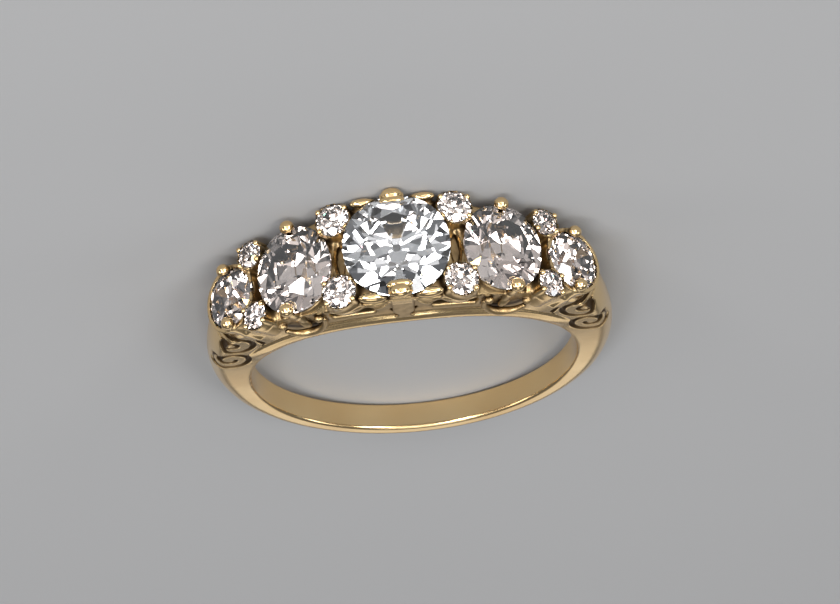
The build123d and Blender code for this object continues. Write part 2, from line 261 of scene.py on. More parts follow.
@dataclass(frozen=True)
class Hoop:
    """Plain body of the ring: a D section that grows from the shank to the head.

    Attributes:
        sizes: Driving sizes.
        rows: An angle and four shares each: height and half widths from 0 at the shank to 1 at the head, and the
            part of the section's height where its straight wall ends. A smooth curve runs through them.
        wall_foot: Share of the wall, counted from the finger hole, down to which its slope goes on.
        wall_shares: Shares of the half width between which the top turns into the side wall.
        steps: Number of angles at which the curves are kept.
    """

    sizes: RingSizes
    rows: tuple = (
        (0, 1.000, 1.000, 1.000, 0.95),
        (24, 0.862, 0.857, 0.830, 0.95),
        (45, 0.793, 0.607, 0.560, 0.87),
        (58, 0.680, 0.450, 0.400, 0.78),
        (70, 0.480, 0.320, 0.265, 0.68),
        (82, 0.290, 0.214, 0.165, 0.58),
        (95, 0.150, 0.120, 0.090, 0.48),
        (115, 0.050, 0.036, 0.020, 0.42),
        (140, 0.000, 0.000, 0.000, 0.40),
        (180, 0.000, 0.000, 0.000, 0.40),
    )
    wall_foot: float = -0.2
    wall_shares: tuple = (0.5, 0.75)
    steps: int = 361

    def __post_init__(self) -> None:
        """Reads the curves through the rows once, at even angles."""
        table = np.array(self.rows)
        fine = np.linspace(0, 180, self.steps)
        columns = [self._curve(fine, table[:, 0], table[:, k]) for k in range(1, 5)]
        object.__setattr__(self, "_fine", fine)
        object.__setattr__(self, "_columns", columns)

    @staticmethod
    def _curve(at: Array, knots: Array, values: Array) -> Array:
        """Smooth cubic curve through the rows with a mean slope at each row, level at both ends.

        Args:
            at: Where to read the curve.
            knots: Angles of the rows.
            values: Values of the rows.

        Returns:
            The curve's values.
        """
        slopes = np.gradient(values, knots)
        slopes[[0, -1]] = 0
        low = np.clip(np.searchsorted(knots, at, side="right") - 1, 0, len(knots) - 2)
        span = knots[low + 1] - knots[low]
        t = (at - knots[low]) / span
        return (
            (2 * t**3 - 3 * t**2 + 1) * values[low]
            + (t**3 - 2 * t**2 + t) * span * slopes[low]
            + (3 * t**2 - 2 * t**3) * values[low + 1]
            + (t**3 - t**2) * span * slopes[low + 1]
        )

    def section(self, angle: Array) -> tuple[Array, Array, Array, Array]:
        """Top radius, wall radius, foot half width and crown half width at each angle.

        Args:
            angle: Angles in degrees.

        Returns:
            The four sizes in millimetres.
        """
        sizes = self.sizes
        height, foot, crown, wall = (np.interp(angle, self._fine, column) for column in self._columns)
        thickness = sizes.shank_thickness + (sizes.head_thickness - sizes.shank_thickness) * height
        head_half = Stone.CENTRE.width / 2
        return (
            sizes.bore_radius + thickness,
            sizes.bore_radius + thickness * wall,
            sizes.shank_half_width + (sizes.rail_half_width - sizes.shank_half_width) * foot,
            sizes.shank_half_width + (head_half - sizes.shank_half_width) * crown,
        )

    def half_width(self, angle: Array, radius: Array) -> Array:
        """Half width of the straight wall: foot + (crown - foot) * (radius - bore) / (wall - bore).

        Args:
            angle: Angles in degrees.
            radius: Distances from the finger axis.

        Returns:
            Half widths in millimetres.
        """
        _, wall, foot, crown = self.section(angle)
        bore = self.sizes.bore_radius
        return foot + (crown - foot) * np.clip((radius - bore) / (wall - bore), self.wall_foot, 1)

    def on_wall(self, angle: float, radius: float, raise_by: float = 0.0) -> Place:
        """Place on the side wall, raised over it by a height."""
        return Place(angle, radius, float(self.half_width(np.array([angle]), np.array([radius]))[0]) + raise_by)

    def distance(self, at: Points) -> Array:
        """Field of the hoop: straight walls under half an ellipse, in ellipse form k1 (k1 - 1) / k2.

        Args:
            at: Points to measure.

        Returns:
            Distance of each point, without the finger hole.
        """
        top, wall, _, _ = self.section(at.angle)
        width = self.half_width(at.angle, at.radius)
        over = np.maximum(at.radius - wall, 0) / (top - wall)
        across = at.aside / width
        reach = np.hypot(over, across)
        slope = np.hypot(over / (top - wall), across / width)
        return ellipse_form(reach, slope)

    def wall_share(self, at: Points) -> Array:
        """How far a point lies on the side wall: 0 on the top and in the middle, 1 on the wall."""
        return smooth_step(at.aside / self.half_width(at.angle, at.radius), *self.wall_shares)


class Relief(ABC):
    """A raised or engraved feature of the hoop's surface."""

    @abstractmethod
    def height(self, at: Points) -> Array:
        """Height that the feature adds to the surface near the points, negative where it cuts."""


@dataclass(frozen=True)
class Rail(Relief):
    """Thin raised rail along the edge of the finger hole, with a fine cut above it, faded out by two angles."""

    radius: float = 8.93
    half_width: float = 0.5
    rise: float = 0.12
    cut_radius: float = 9.5
    cut_half_width: float = 0.16
    cut_depth: float = 0.12
    fade_start: float = 52.0
    fade_end: float = 66.0

    def height(self, at: Points) -> Array:
        """Rise of the rail less its cut, faded out towards the shank.

        Args:
            at: Points near the surface.

        Returns:
            Heights in millimetres.
        """
        fade = 1 - smooth_step(at.angle, self.fade_start, self.fade_end)
        rail = self.rise * bump(at.radius - self.radius, self.half_width)
        cut = self.cut_depth * bump(at.radius - self.cut_radius, self.cut_half_width)
        return fade * (rail - cut)


@dataclass(frozen=True)
class Scroll(Relief):
    """Engraved scroll on the wall: a groove that runs round at one radius and then winds in to a small ring.

    Attributes:
        angle: Angle of its middle from the centre stone.
        radius: Distance of its middle from the finger axis.
        outer: Radius of its outer turn.
        inner: Radius of its inner ring.
        start: Direction where the outer turn starts, in degrees from the way round the row.
        sweep: Degrees that the groove turns in all, negative the other way round.
        ease: Shares of the sweep between which it winds in.
        half_width: Half of the groove's width.
        depth: Depth of the groove.
        taper: Share of the half width at the start, and how much of it is lost by the end.
        tip: Share of the width at the pointed start, and its growth along the groove.
        spread: Share by which the soft edge is wider than the groove.
        margin: Half widths round the outer turn within which points are looked at.
        steps: Points of the groove's line.
    """

    angle: float
    radius: float
    outer: float
    inner: float
    start: float
    sweep: float
    ease: tuple
    half_width: float = 0.17
    depth: float = 0.17
    taper: tuple = (1.1, 0.3)
    tip: tuple = (0.45, 6.0)
    spread: float = 1.15
    margin: float = 1.5
    steps: int = 84

    def path(self) -> Array:
        """Middle line of the groove on the wall.

        Returns:
            Points of shape (steps, 2), round the row and outwards.
        """
        share = np.linspace(0, 1, self.steps)
        eased = smooth_step(share, *self.ease)
        size = self.outer + (self.inner - self.outer) * eased
        turn = np.radians(self.start + self.sweep * share)
        return np.stack([size * np.cos(turn), size * np.sin(turn)], axis=1)

    def height(self, at: Points) -> Array:
        """Depth of the groove, from the distance to the nearest straight piece of its line.

        Args:
            at: Points near the surface.

        Returns:
            Heights in millimetres.
        """
        round_row, up = at.around(self.angle, self.radius)
        near = np.hypot(round_row, up) < self.outer + self.half_width * self.margin
        result = np.zeros(len(up))
        if not near.any():
            return result
        spot = np.stack([round_row[near], up[near]], axis=1)
        line = self.path()
        best = np.full(len(spot), np.inf)
        width = np.full(len(spot), self.half_width)
        for k, (first, second) in enumerate(zip(line, line[1:])):
            along = second - first
            share = np.clip((spot - first) @ along / (along @ along), 0, 1)
            away = np.hypot(*(spot - first - share[:, None] * along).T)
            part = (k + 0.5) / len(line)
            closer = away < best
            best[closer] = away[closer]
            narrowed = self.half_width * (self.taper[0] - self.taper[1] * part)
            width[closer] = narrowed * min(1.0, self.tip[0] + self.tip[1] * part)
        result[near] = -self.depth * (width / self.half_width) * bump(best, width * self.spread)
        return result


@dataclass(frozen=True)
class RingCut(Relief):
    """Cut that runs round the axis of a stone on its outer side, such as the lines below an end stone."""

    place: Place
    size: float
    half_width: float
    depth: float
    start: float = -0.2
    reach: float = 0.9
    fades: tuple = (0.9, 0.5)

    def height(self, at: Points) -> Array:
        """Depth of the line, faded out towards the row and down the wall.

        Args:
            at: Points near the surface.

        Returns:
            Heights in millimetres.
        """
        round_row, across, up = self.place.local(at)
        away = np.hypot(round_row, across) - self.size
        fade = smooth_step(round_row, self.start, self.start + self.fades[0])
        fade = fade * smooth_step(up, -self.reach - self.fades[1], -self.reach)
        return -self.depth * fade * bump(away, self.half_width)


@dataclass(frozen=True)
class Nick(Relief):
    """Short tapered cut on the wall, long along a slanted line."""

    angle: float
    radius: float
    length: float
    half_width: float
    slant: float
    depth: float
    bend: float = 0.0
    tip: float = 0.001

    def height(self, at: Points) -> Array:
        """Depth of the cut: a bump across its line, narrower and lower towards both ends.

        Args:
            at: Points near the surface.

        Returns:
            Heights in millimetres.
        """
        along, across = turned(*at.around(self.angle, self.radius), self.slant)
        across = across - self.bend * along * along
        taper = np.sqrt(np.clip(1 - (2 * along / self.length) ** 2, 0, 1))
        return -self.depth * bump(across, self.half_width * taper + self.tip) * taper


@dataclass(frozen=True)
class Lip(Relief):
    """Smooth raised lip of the wall below a front accent."""

    angle: float
    radius: float
    half_length: float
    half_width: float
    rise: float
    edge: float = 0.16

    def height(self, at: Points) -> Array:
        """Rise of the lip, with round ends and soft edges.

        Args:
            at: Points near the surface.

        Returns:
            Heights in millimetres.
        """
        round_row, up = at.around(self.angle, self.radius)
        away = np.hypot(np.maximum(np.abs(round_row) - self.half_length, 0), up)
        return self.rise * (1 - smooth_step(away, self.half_width - self.edge, self.half_width))


@dataclass(frozen=True)
class SunkField(Relief):
    """Field of the wall that lies a little deeper between the rail and the smooth lip under the stones."""

    low: float = 9.45
    high: float = 11.75
    depth: float = 0.16
    edge: float = 0.3
    fade_start: float = 33.0
    fade_end: float = 45.0

    def height(self, at: Points) -> Array:
        """Depth of the field, with soft edges.

        Args:
            at: Points near the surface.

        Returns:
            Heights in millimetres.
        """
        rise = smooth_step(at.radius, self.low, self.low + self.edge)
        fall = 1 - smooth_step(at.radius, self.high, self.high + self.edge)
        fade = 1 - smooth_step(at.angle, self.fade_start, self.fade_end)
        return -self.depth * rise * fall * fade


class Shape(ABC):
    """A body that is added to the gold or cut from it, near its place only."""

    blend: float
    margin = 0.4

    @property
    @abstractmethod
    def ball(self) -> tuple[Array, float, int]:
        """Middle, radius and face of a ball that holds the shape."""

    @abstractmethod
    def distance(self, at: Points) -> Array:
        """Distance of each point in millimetres, negative inside the shape."""

    def near(self, at: Points) -> Array:
        """Mask of the points that the shape can change.

        Args:
            at: Points to test.

        Returns:
            True where a point lies within the ball, the blend and a margin.
        """
        middle, reach, face = self.ball
        dx, dy, dz = at.offset(middle, face)
        return dx**2 + dy**2 + dz**2 < (reach + self.blend + self.margin) ** 2

    def add_to(self, value: Array, at: Points) -> None:
        """Unites the shape in place with a field that is read at some points."""
        near = self.near(at)
        value[near] = smooth_min(value[near], self.distance(at.part(near)), self.blend)

    def cut_from(self, value: Array, at: Points) -> None:
        """Cuts the shape in place from a field that is read at some points."""
        near = self.near(at)
        value[near] = smooth_max(value[near], -self.distance(at.part(near)), self.blend)


@dataclass(frozen=True)
class PlacedShape(Shape):
    """A shape in the axes of a place, held by a ball about that place."""

    place: Place

    @property
    @abstractmethod
    def reach(self) -> float:
        """Radius of the ball that holds the shape."""

    @property
    def ball(self) -> tuple[Array, float, int]:
        """Middle, radius and face of the ball."""
        return self.place.origin, self.reach, self.place.face


@dataclass(frozen=True)
class Cup(PlacedShape):
    """Tapered round or oval cup about a stone's axis."""

    length: float
    width: float
    rise: float
    height: float
    taper: float
    blend: float = 0.12
    rounding: tuple = (0.05, 0.08)

    @property
    def reach(self) -> float:
        """Radius of the ball that holds the cup."""
        return max(self.length, self.width) / 2 + self.height

    def distance(self, at: Points) -> Array:
        """Cone between its rim and its foot: the highest of its side and its two ends.

        Args:
            at: Points to measure.

        Returns:
            Distances in millimetres.
        """
        round_row, across, up = self.place.local(at)
        mean = (self.length + self.width) / 4
        spread = oval_reach(round_row, across, self.length, self.width)
        depth = self.rise - up
        narrowing = mean * (1 - self.taper) / self.height
        side = (spread - mean + narrowing * depth) / math.hypot(1, narrowing)
        return smooth_max(side, smooth_max(-depth, depth - self.height, self.rounding[0]), self.rounding[1])


@dataclass(frozen=True)
class Seat(PlacedShape):
    """Space that a stone takes: a cone up to its girdle, a band round it and a cone over its crown."""

    stone: Stone
    sizes: RingSizes
    clearance: float = 0.03
    blend: float = 0.04
    round_share: float = 1.006
    foot_share: float = 0.12
    table_margin: float = 0.14
    ball_share: float = 0.6

    @property
    def reach(self) -> float:
        """Radius of the ball that holds the seat."""
        return self.stone.mean * self.ball_share + 0.1

    def distance(self, at: Points) -> Array:
        """Highest of the planes of the pavilion, girdle and crown, turned about the stone's axis.

        Args:
            at: Points to measure.

        Returns:
            Distances in millimetres.
        """
        sizes, mean, half = self.sizes, self.stone.mean, self.stone.mean / 2
        round_row, across, up = self.place.local(at)
        rim = half * (self.round_share + sizes.cushion_squareness) + self.clearance
        beyond = oval_reach(round_row, across, self.stone.length, self.stone.width) - rim
        girdle = mean * sizes.girdle_share / 2
        depth, inwards = mean * sizes.pavilion_share, rim - half * self.foot_share
        rise, to_table = mean * sizes.crown_share, rim - half * (sizes.table_share + self.table_margin)
        below = (beyond * depth - (up + girdle) * inwards) / math.hypot(depth, inwards)
        above = (beyond * rise + (up - girdle) * to_table) / math.hypot(rise, to_table)
        return np.maximum(np.maximum(below, above), beyond)


@dataclass(frozen=True)
class Tube(PlacedShape):
    """Round or oval hole that runs inwards along a stone's axis."""

    length: float
    width: float
    depth: float
    blend: float = 0.16

    @property
    def reach(self) -> float:
        """Radius of the ball that holds the whole hole."""
        return self.depth + max(self.length, self.width)

    def distance(self, at: Points) -> Array:
        """Oval cylinder that ends at the stone's girdle and at its depth.

        Args:
            at: Points to measure.

        Returns:
            Distances in millimetres.
        """
        round_row, across, up = self.place.local(at)
        side = oval_reach(round_row, across, self.length, self.width) - (self.length + self.width) / 4
        return np.maximum(side, np.maximum(up, -up - self.depth))


@dataclass(frozen=True)
class Claw(Shape):
    """Claw or wire between two points, thick at its top, as a rod with round ends.

    Attributes:
        foot: Lower end in the ring's axes.
        top: Upper end.
        foot_radius: Radius at the foot.
        top_radius: Radius at the top.
        face: 1 for the front alone, -1 for the back alone, 0 for both.
    """

    foot: Array
    top: Array
    foot_radius: float
    top_radius: float
    face: int = 0
    blend: float = 0.08

    @property
    def ball(self) -> tuple[Array, float, int]:
        """Ball about the middle of the rod."""
        reach = np.linalg.norm(self.top - self.foot) / 2 + max(self.foot_radius, self.top_radius)
        return (self.foot + self.top) / 2, reach, self.face

    def distance(self, at: Points) -> Array:
        """Distance to the line between both ends, less the radius there.

        Args:
            at: Points to measure.

        Returns:
            Distances in millimetres.
        """
        rod = self.top - self.foot
        dx, dy, dz = at.offset(self.foot, self.face)
        share = np.clip((dx * rod[0] + dy * rod[1] + dz * rod[2]) / (rod @ rod), 0, 1)
        away = np.sqrt((dx - share * rod[0]) ** 2 + (dy - share * rod[1]) ** 2 + (dz - share * rod[2]) ** 2)
        return away - (self.foot_radius + (self.top_radius - self.foot_radius) * smooth_step(share, 0, 1))


@dataclass(frozen=True)
class Bead(PlacedShape):
    """Round or oval bead in a place's axes, turned in the plane of the wall."""

    radii: tuple
    turn: float = 0.0
    blend: float = 0.05

    @property
    def reach(self) -> float:
        """Radius of the ball that holds the bead."""
        return max(self.radii)

    def distance(self, at: Points) -> Array:
        """Ellipsoid with its long side turned in the plane of the wall.

        Args:
            at: Points to measure.

        Returns:
            Distances in millimetres.
        """
        round_row, across, up = self.place.local(at)
        along, out = turned(round_row, up, self.turn)
        a, b, c = self.radii
        reach = np.sqrt((along / a) ** 2 + (across / b) ** 2 + (out / c) ** 2)
        slope = np.sqrt((along / a**2) ** 2 + (across / b**2) ** 2 + (out / c**2) ** 2)
        return ellipse_form(reach, slope)


@dataclass(frozen=True)
class Slot(PlacedShape):
    """Arched slot through the wall: a round arch over a floor that runs along the rail."""

    half_span: float
    floor: float
    rise: float
    blend: float = 0.22
    corner: float = 0.15
    wall_reach: float = 3.6

    @property
    def reach(self) -> float:
        """Radius of the ball that holds the slot."""
        return self.half_span + self.wall_reach

    def distance(self, at: Points) -> Array:
        """Higher of the arch, a circle through both ends and the crown, and the floor.

        Args:
            at: Points to measure.

        Returns:
            Distances in millimetres.
        """
        arch = (self.half_span**2 + self.rise**2) / (2 * self.rise)
        round_row, up = at.around(self.place.angle, self.floor)
        return smooth_max(np.hypot(round_row, up - self.rise + arch) - arch, -up, self.corner)


@dataclass(frozen=True)
class Pit(PlacedShape):
    """Pierced hole through the wall that narrows inwards."""

    radius: float
    inner_radius: float
    depth: float
    stretch: float = 1.0
    turn: float = 0.0
    blend: float = 0.12

    @property
    def reach(self) -> float:
        """Radius of the ball that holds the hole."""
        return self.depth + self.radius * self.stretch

    def distance(self, at: Points) -> Array:
        """Cone along the finger axis, long along its turned direction.

        Args:
            at: Points to measure.

        Returns:
            Distances in millimetres.
        """
        round_row, across, up = self.place.local(at)
        along, out = turned(round_row, up, self.turn)
        size = self.radius + (self.inner_radius - self.radius) * np.clip(-across / self.depth, 0, 1)
        return np.maximum(np.hypot(along / self.stretch, out) - size, -across - self.depth)


@dataclass(frozen=True)
class Swag(PlacedShape):
    """Raised half ring on the wall, open towards the stone above it."""

    size: float
    wire: float
    opening: float = 78.0
    taper: tuple = (1.15, 0.35)
    blend: float = 0.06

    @property
    def reach(self) -> float:
        """Radius of the ball that holds the half ring."""
        return self.size + self.wire

    def distance(self, at: Points) -> Array:
        """Distance to an arc in the wall, less the wire's radius, which is greatest at the bottom.

        Args:
            at: Points to measure.

        Returns:
            Distances in millimetres.
        """
        round_row, across, up = self.place.local(at)
        turn = np.degrees(np.arctan2(round_row, -up))
        held = np.radians(np.clip(turn, -self.opening, self.opening))
        beside, below = round_row - self.size * np.sin(held), up + self.size * np.cos(held)
        away = np.sqrt(beside**2 + below**2 + across**2)
        return away - self.wire * (self.taper[0] - self.taper[1] * np.abs(held))


@dataclass(frozen=True)
class Pillar(Shape):
    """Flat pillar up the wall with rounded corners and fine cut bands.

    Attributes:
        foot: Lower end in the ring's axes.
        top: Upper end.
        half_width: Half of its width round the row, at its foot.
        top_half_width: The same at its top.
        thickness: Half of its thickness.
        bands: Distances of the cut bands from the top.
    """

    foot: Array
    top: Array
    half_width: float
    top_half_width: float
    thickness: float
    bands: tuple = (0.62, 0.92)
    band_half_width: float = 0.1
    band_depth: float = 0.07
    rounding: float = 0.12
    blend: float = 0.07

    @property
    def ball(self) -> tuple[Array, float, int]:
        """Ball about the middle of the pillar."""
        return (self.foot + self.top) / 2, np.linalg.norm(self.top - self.foot) / 2 + self.half_width, 0

    def distance(self, at: Points) -> Array:
        """Rounded box whose width changes along it, less its bands.

        Args:
            at: Points to measure.

        Returns:
            Distances in millimetres.
        """
        rod = self.top - self.foot
        length = float(np.linalg.norm(rod))
        up = rod / length
        out = np.array([0.0, -up[2], up[1]]) * (1 if up[1] > 0 else -1)
        dx, dy, dz = at.offset(self.foot, 0)
        along = dx * up[0] + dy * up[1] + dz * up[2]
        depth = dx * out[0] + dy * out[1] + dz * out[2]
        share = np.clip(along / length, 0, 1)
        wide = self.half_width + (self.top_half_width - self.half_width) * share
        cut = sum(bump(length - along - band, self.band_half_width) for band in self.bands) * self.band_depth
        inner = self.rounding
        beside = np.abs(at.x) - wide + inner + cut
        before = np.abs(depth) - self.thickness + inner + cut
        ends = np.abs(along - length / 2) - length / 2 + inner
        outside = np.sqrt(np.maximum(beside, 0) ** 2 + np.maximum(before, 0) ** 2 + np.maximum(ends, 0) ** 2)
        return outside + np.minimum(np.maximum(np.maximum(beside, before), ends), 0) - inner


@dataclass(frozen=True)
class StoneRow:
    """Places of the stones on the hoop, worked out from gaps along the row and round each stone."""

    sizes: RingSizes
    hoop: Hoop

    def girdle_radius(self, angle: float) -> float:
        """Distance of a main stone's girdle from the finger axis.

        Args:
            angle: Angle from the centre stone.

        Returns:
            The radius in millimetres.
        """
        sizes = self.sizes
        height = float(np.interp(angle, [row[0] for row in self.hoop.rows], [row[1] for row in self.hoop.rows]))
        thickness = sizes.shank_thickness + (sizes.head_thickness - sizes.shank_thickness) * height
        return sizes.bore_radius + thickness + sizes.girdle_proud

    def main(self, stone: Stone) -> Place:
        """Place of a main stone.

        Args:
            stone: Centre, second or end stone.

        Returns:
            Its girdle's place.
        """
        sizes, angle = self.sizes, 0.0
        for (inside, outside), gap in zip(NEIGHBOURS, (sizes.centre_second_gap, sizes.second_end_gap)):
            if stone in (Stone.CENTRE, inside):
                break
            arc = inside.length / 2 + gap + outside.length / 2
            angle += math.degrees(arc / self.girdle_radius(angle))
        return Place(angle, self.girdle_radius(angle))

    def accent(self, stone: Stone) -> Place:
        """Place of an accent, where circles about both neighbours meet.

        Args:
            stone: Inner or outer accent.

        Returns:
            Its girdle's place.
        """
        sizes, number = self.sizes, ACCENTS.index(stone)
        inside, outside = NEIGHBOURS[number]
        gap = (sizes.inner_accent_gap, sizes.outer_accent_gap)[number]
        first, second = self.main(inside), self.main(outside)
        middle = (first.radius + second.radius) / 2
        distance = math.radians(second.angle - first.angle) * middle
        reach_first = (inside.mean + stone.mean) / 2 + gap
        reach_second = (outside.mean + stone.mean) / 2 + gap
        along = (distance**2 + reach_first**2 - reach_second**2) / (2 * distance)
        aside = math.sqrt(reach_first**2 - along**2)
        angle = first.angle + math.degrees(along / middle)
        return Place(angle, self.girdle_radius(angle) + sizes.accent_lift, aside, sizes.accent_lean)

    def place(self, stone: Stone) -> Place:
        """Place of any stone."""
        return self.accent(stone) if stone in ACCENTS else self.main(stone)


class Assembly:
    """A group of features that belong together on the mount, each kind empty unless a group has some."""

    def reliefs(self) -> list[Relief]:
        """Raised and engraved features of the hoop's surface."""
        return []

    def added(self) -> list[Shape]:
        """Bodies that are united with the gold."""
        return []

    def cuts(self) -> list[Shape]:
        """Bodies that are cut from the gold."""
        return []


@dataclass(frozen=True)
class Settings(Assembly):
    """Cups, bezels and seats of all stones.

    Attributes:
        cup: Drop of its rim below the girdle, its height, taper and blend.
        end_rim: Margin, rise, taper and blend of the rim round each end stone.
        bezel: Margin, rise, height, taper and blend of the bezel round each accent.
        crescents: Margin round the end stone, half width, depth and start of each cut beside it.
        open_share: Size of the hole below a main stone as a share of the stone.
        accent_open: The same for an accent, and the depth of its hole.
        grain: Radius, distance from the girdle, rise and depth of the grains round an accent, and their blend.
        grain_turns: Directions of the grains round the accent.
        hollows: Length, width and depth of the hollow between each two main stones.
        hollow: Height of the hollows' tops over the outer stone's girdle, and their blend.
    """

    row: StoneRow
    cup_inset: float = 0.1
    cup: tuple = (0.12, 1.5, 0.64, 0.2)
    end_rim: tuple = (0.25, 0.12, 0.94, 0.16)
    bezel: tuple = (0.09, 0.08, 1.7, 0.9, 0.3)
    crescents: tuple = ((0.42, 0.13, 0.18, -0.2), (0.8, 0.1, 0.08, 0.7))
    open_share: float = 0.56
    accent_open: tuple = (0.35, 1.6)
    grain: tuple = (0.15, 0.02, 0.12, 0.9, 0.05)
    grain_turns: tuple = (38.0, 142.0, 218.0, 322.0)
    hollows: tuple = ((0.44, 1.6, 0.7), (0.36, 1.1, 0.7))
    hollow: tuple = (0.1, 0.4)

    def reliefs(self) -> list[Relief]:
        """Two crescent cuts beside each end stone."""
        end = self.row.main(Stone.END)
        return [RingCut(end, Stone.END.mean / 2 + margin, *rest) for margin, *rest in self.crescents]

    def added(self) -> list[Shape]:
        """A cup under each main stone, a rim round each end stone, and a bezel with grains round each accent.

        Returns:
            The bodies.
        """
        shapes: list[Shape] = []
        drop, height, taper, blend = self.cup
        for stone in MAIN_STONES:
            size = (stone.length - self.cup_inset, stone.width - self.cup_inset)
            shapes.append(Cup(self.row.main(stone), *size, -drop, height, taper, blend))
        margin, rise, taper, blend = self.end_rim
        rim = Stone.END.mean + 2 * margin
        shapes.append(Cup(self.row.main(Stone.END), rim, rim, rise, height + rise, taper, blend))
        for stone in ACCENTS:
            shapes += self._bezel(stone)
        return shapes

    def _bezel(self, stone: Stone) -> list[Shape]:
        """Bezel of an accent with the grains that hold it.

        Args:
            stone: The accent.

        Returns:
            The bezel and the grains.
        """
        margin, *rest = self.bezel
        radius, offset, rise, depth, blend = self.grain
        size, place = stone.mean + 2 * margin, self.row.accent(stone)
        shapes: list[Shape] = [Cup(place, size, size, *rest)]
        reach = stone.mean / 2 + offset
        for turn in self.grain_turns:
            spot = (reach * math.cos(math.radians(turn)), reach * math.sin(math.radians(turn)))
            shapes.append(Claw(place.point(*spot, -depth), place.point(*spot, rise), radius, radius, 0, blend))
        return shapes

    def cuts(self) -> list[Shape]:
        """A seat for each stone, the opening below it and a hollow between each two main stones.

        Returns:
            The bodies.
        """
        sizes = self.row.sizes
        shapes: list[Shape] = []
        for stone in Stone:
            place = self.row.place(stone)
            share, depth = self.open_share, place.radius - sizes.bore_radius / 2
            if stone in ACCENTS:
                share, depth = self.accent_open
            shapes.append(Tube(place, stone.length * share, stone.width * share, depth))
            shapes.append(Seat(place, stone, sizes))
        rise, blend = self.hollow
        for (inner, outer), size in zip(NEIGHBOURS, self.hollows):
            inside, outside = self.row.main(inner), self.row.main(outer)
            shift = (inner.length - outer.length) / 4
            angle = (inside.angle + outside.angle) / 2 + math.degrees(shift / outside.radius)
            shapes.append(Tube(Place(angle, outside.radius + rise), *size, blend))
        return shapes


@dataclass(frozen=True)
class Claws(Assembly):
    """Round claws of the side stones and the wide claws of the centre stone.

    Attributes:
        claws: For each claw its stone, its head's radius, the angle by which it stands past the stone's middle,
            the height of its foot over the finger hole and its face.
        rod: Radius at the foot and at the top as shares of the head's radius.
        head: Half sizes of the head as shares of its radius.
        pillar: Half widths at its foot and top and half of its thickness.
        beads: Half sizes of the centre claw's bead and of the rim behind it, with their distances behind the top.
        notch: Angle and radius of the notch beside the pillar's foot.
        notch_sizes: Radii, depth, stretch, turn and blend of the notch.
    """

    row: StoneRow
    claws: tuple = (
        (Stone.SECOND, 0.34, 2.0, 2.9, 1),
        (Stone.SECOND, 0.34, 0.0, 2.9, -1),
        (Stone.END, 0.32, 0.0, 2.2, 0),
    )
    rod: tuple = (0.62, 0.8)
    rod_blend: float = 0.14
    head: tuple = (1.12, 1.06, 1.02)
    foot_inset: float = 0.08
    head_inset: float = 0.02
    foot_height: float = 1.3
    pillar: tuple = (0.52, 0.62, 0.26)
    pillar_inset: float = 0.1
    beads: tuple = (((0.54, 0.36, 0.34), 0.0), ((0.68, 0.3, 0.3), 0.36))
    bead_blend: float = 0.03
    notch: tuple = (2.9, 10.3)
    notch_sizes: tuple = (0.16, 0.1, 0.3, 1.8, 60.0, 0.1)

    def _ends(self, stone: Stone, lead: float, foot_height: float) -> tuple[Array, Array]:
        """Foot and top of a claw.

        Args:
            stone: The stone that it holds.
            lead: Angle by which the claw stands past the stone's middle.
            foot_height: Height of the foot over the finger hole.

        Returns:
            Foot and top in the ring's axes.
        """
        sizes, place = self.row.sizes, self.row.main(stone)
        angle = place.angle + lead
        foot = self.row.hoop.on_wall(angle, sizes.bore_radius + foot_height, -self.foot_inset)
        top = Place(angle, place.radius + sizes.claw_rise, stone.width / 2 - sizes.claw_overlap)
        return foot.origin, top.origin

    def added(self) -> list[Shape]:
        """Rods with a round head each, and a bead with a rim behind it on a pillar for the centre stone.

        Returns:
            The bodies.
        """
        shapes: list[Shape] = []
        for stone, radius, lead, foot_height, face in self.claws:
            place = self.row.main(stone)
            foot, top = self._ends(stone, lead, foot_height)
            shapes.append(Claw(foot, top, *(radius * share for share in self.rod), face, self.rod_blend))
            height = place.radius + self.row.sizes.claw_rise
            head = Place(place.angle + lead, height, top[2] - self.head_inset, 0.0, face)
            shapes.append(Bead(head, tuple(radius * share for share in self.head)))
        foot, top = self._ends(Stone.CENTRE, 0.0, self.foot_height)
        shapes.append(Pillar(foot, top - AXIS * self.pillar_inset, *self.pillar))
        height = self.row.main(Stone.CENTRE).radius + self.row.sizes.claw_rise
        for radii, back in self.beads:
            shapes.append(Bead(Place(0.0, height, top[2] - back), radii, 0.0, self.bead_blend))
        return shapes

    def cuts(self) -> list[Shape]:
        """A small notch on each side of the centre pillar's foot."""
        return [Pit(self.row.hoop.on_wall(*self.notch), *self.notch_sizes)]


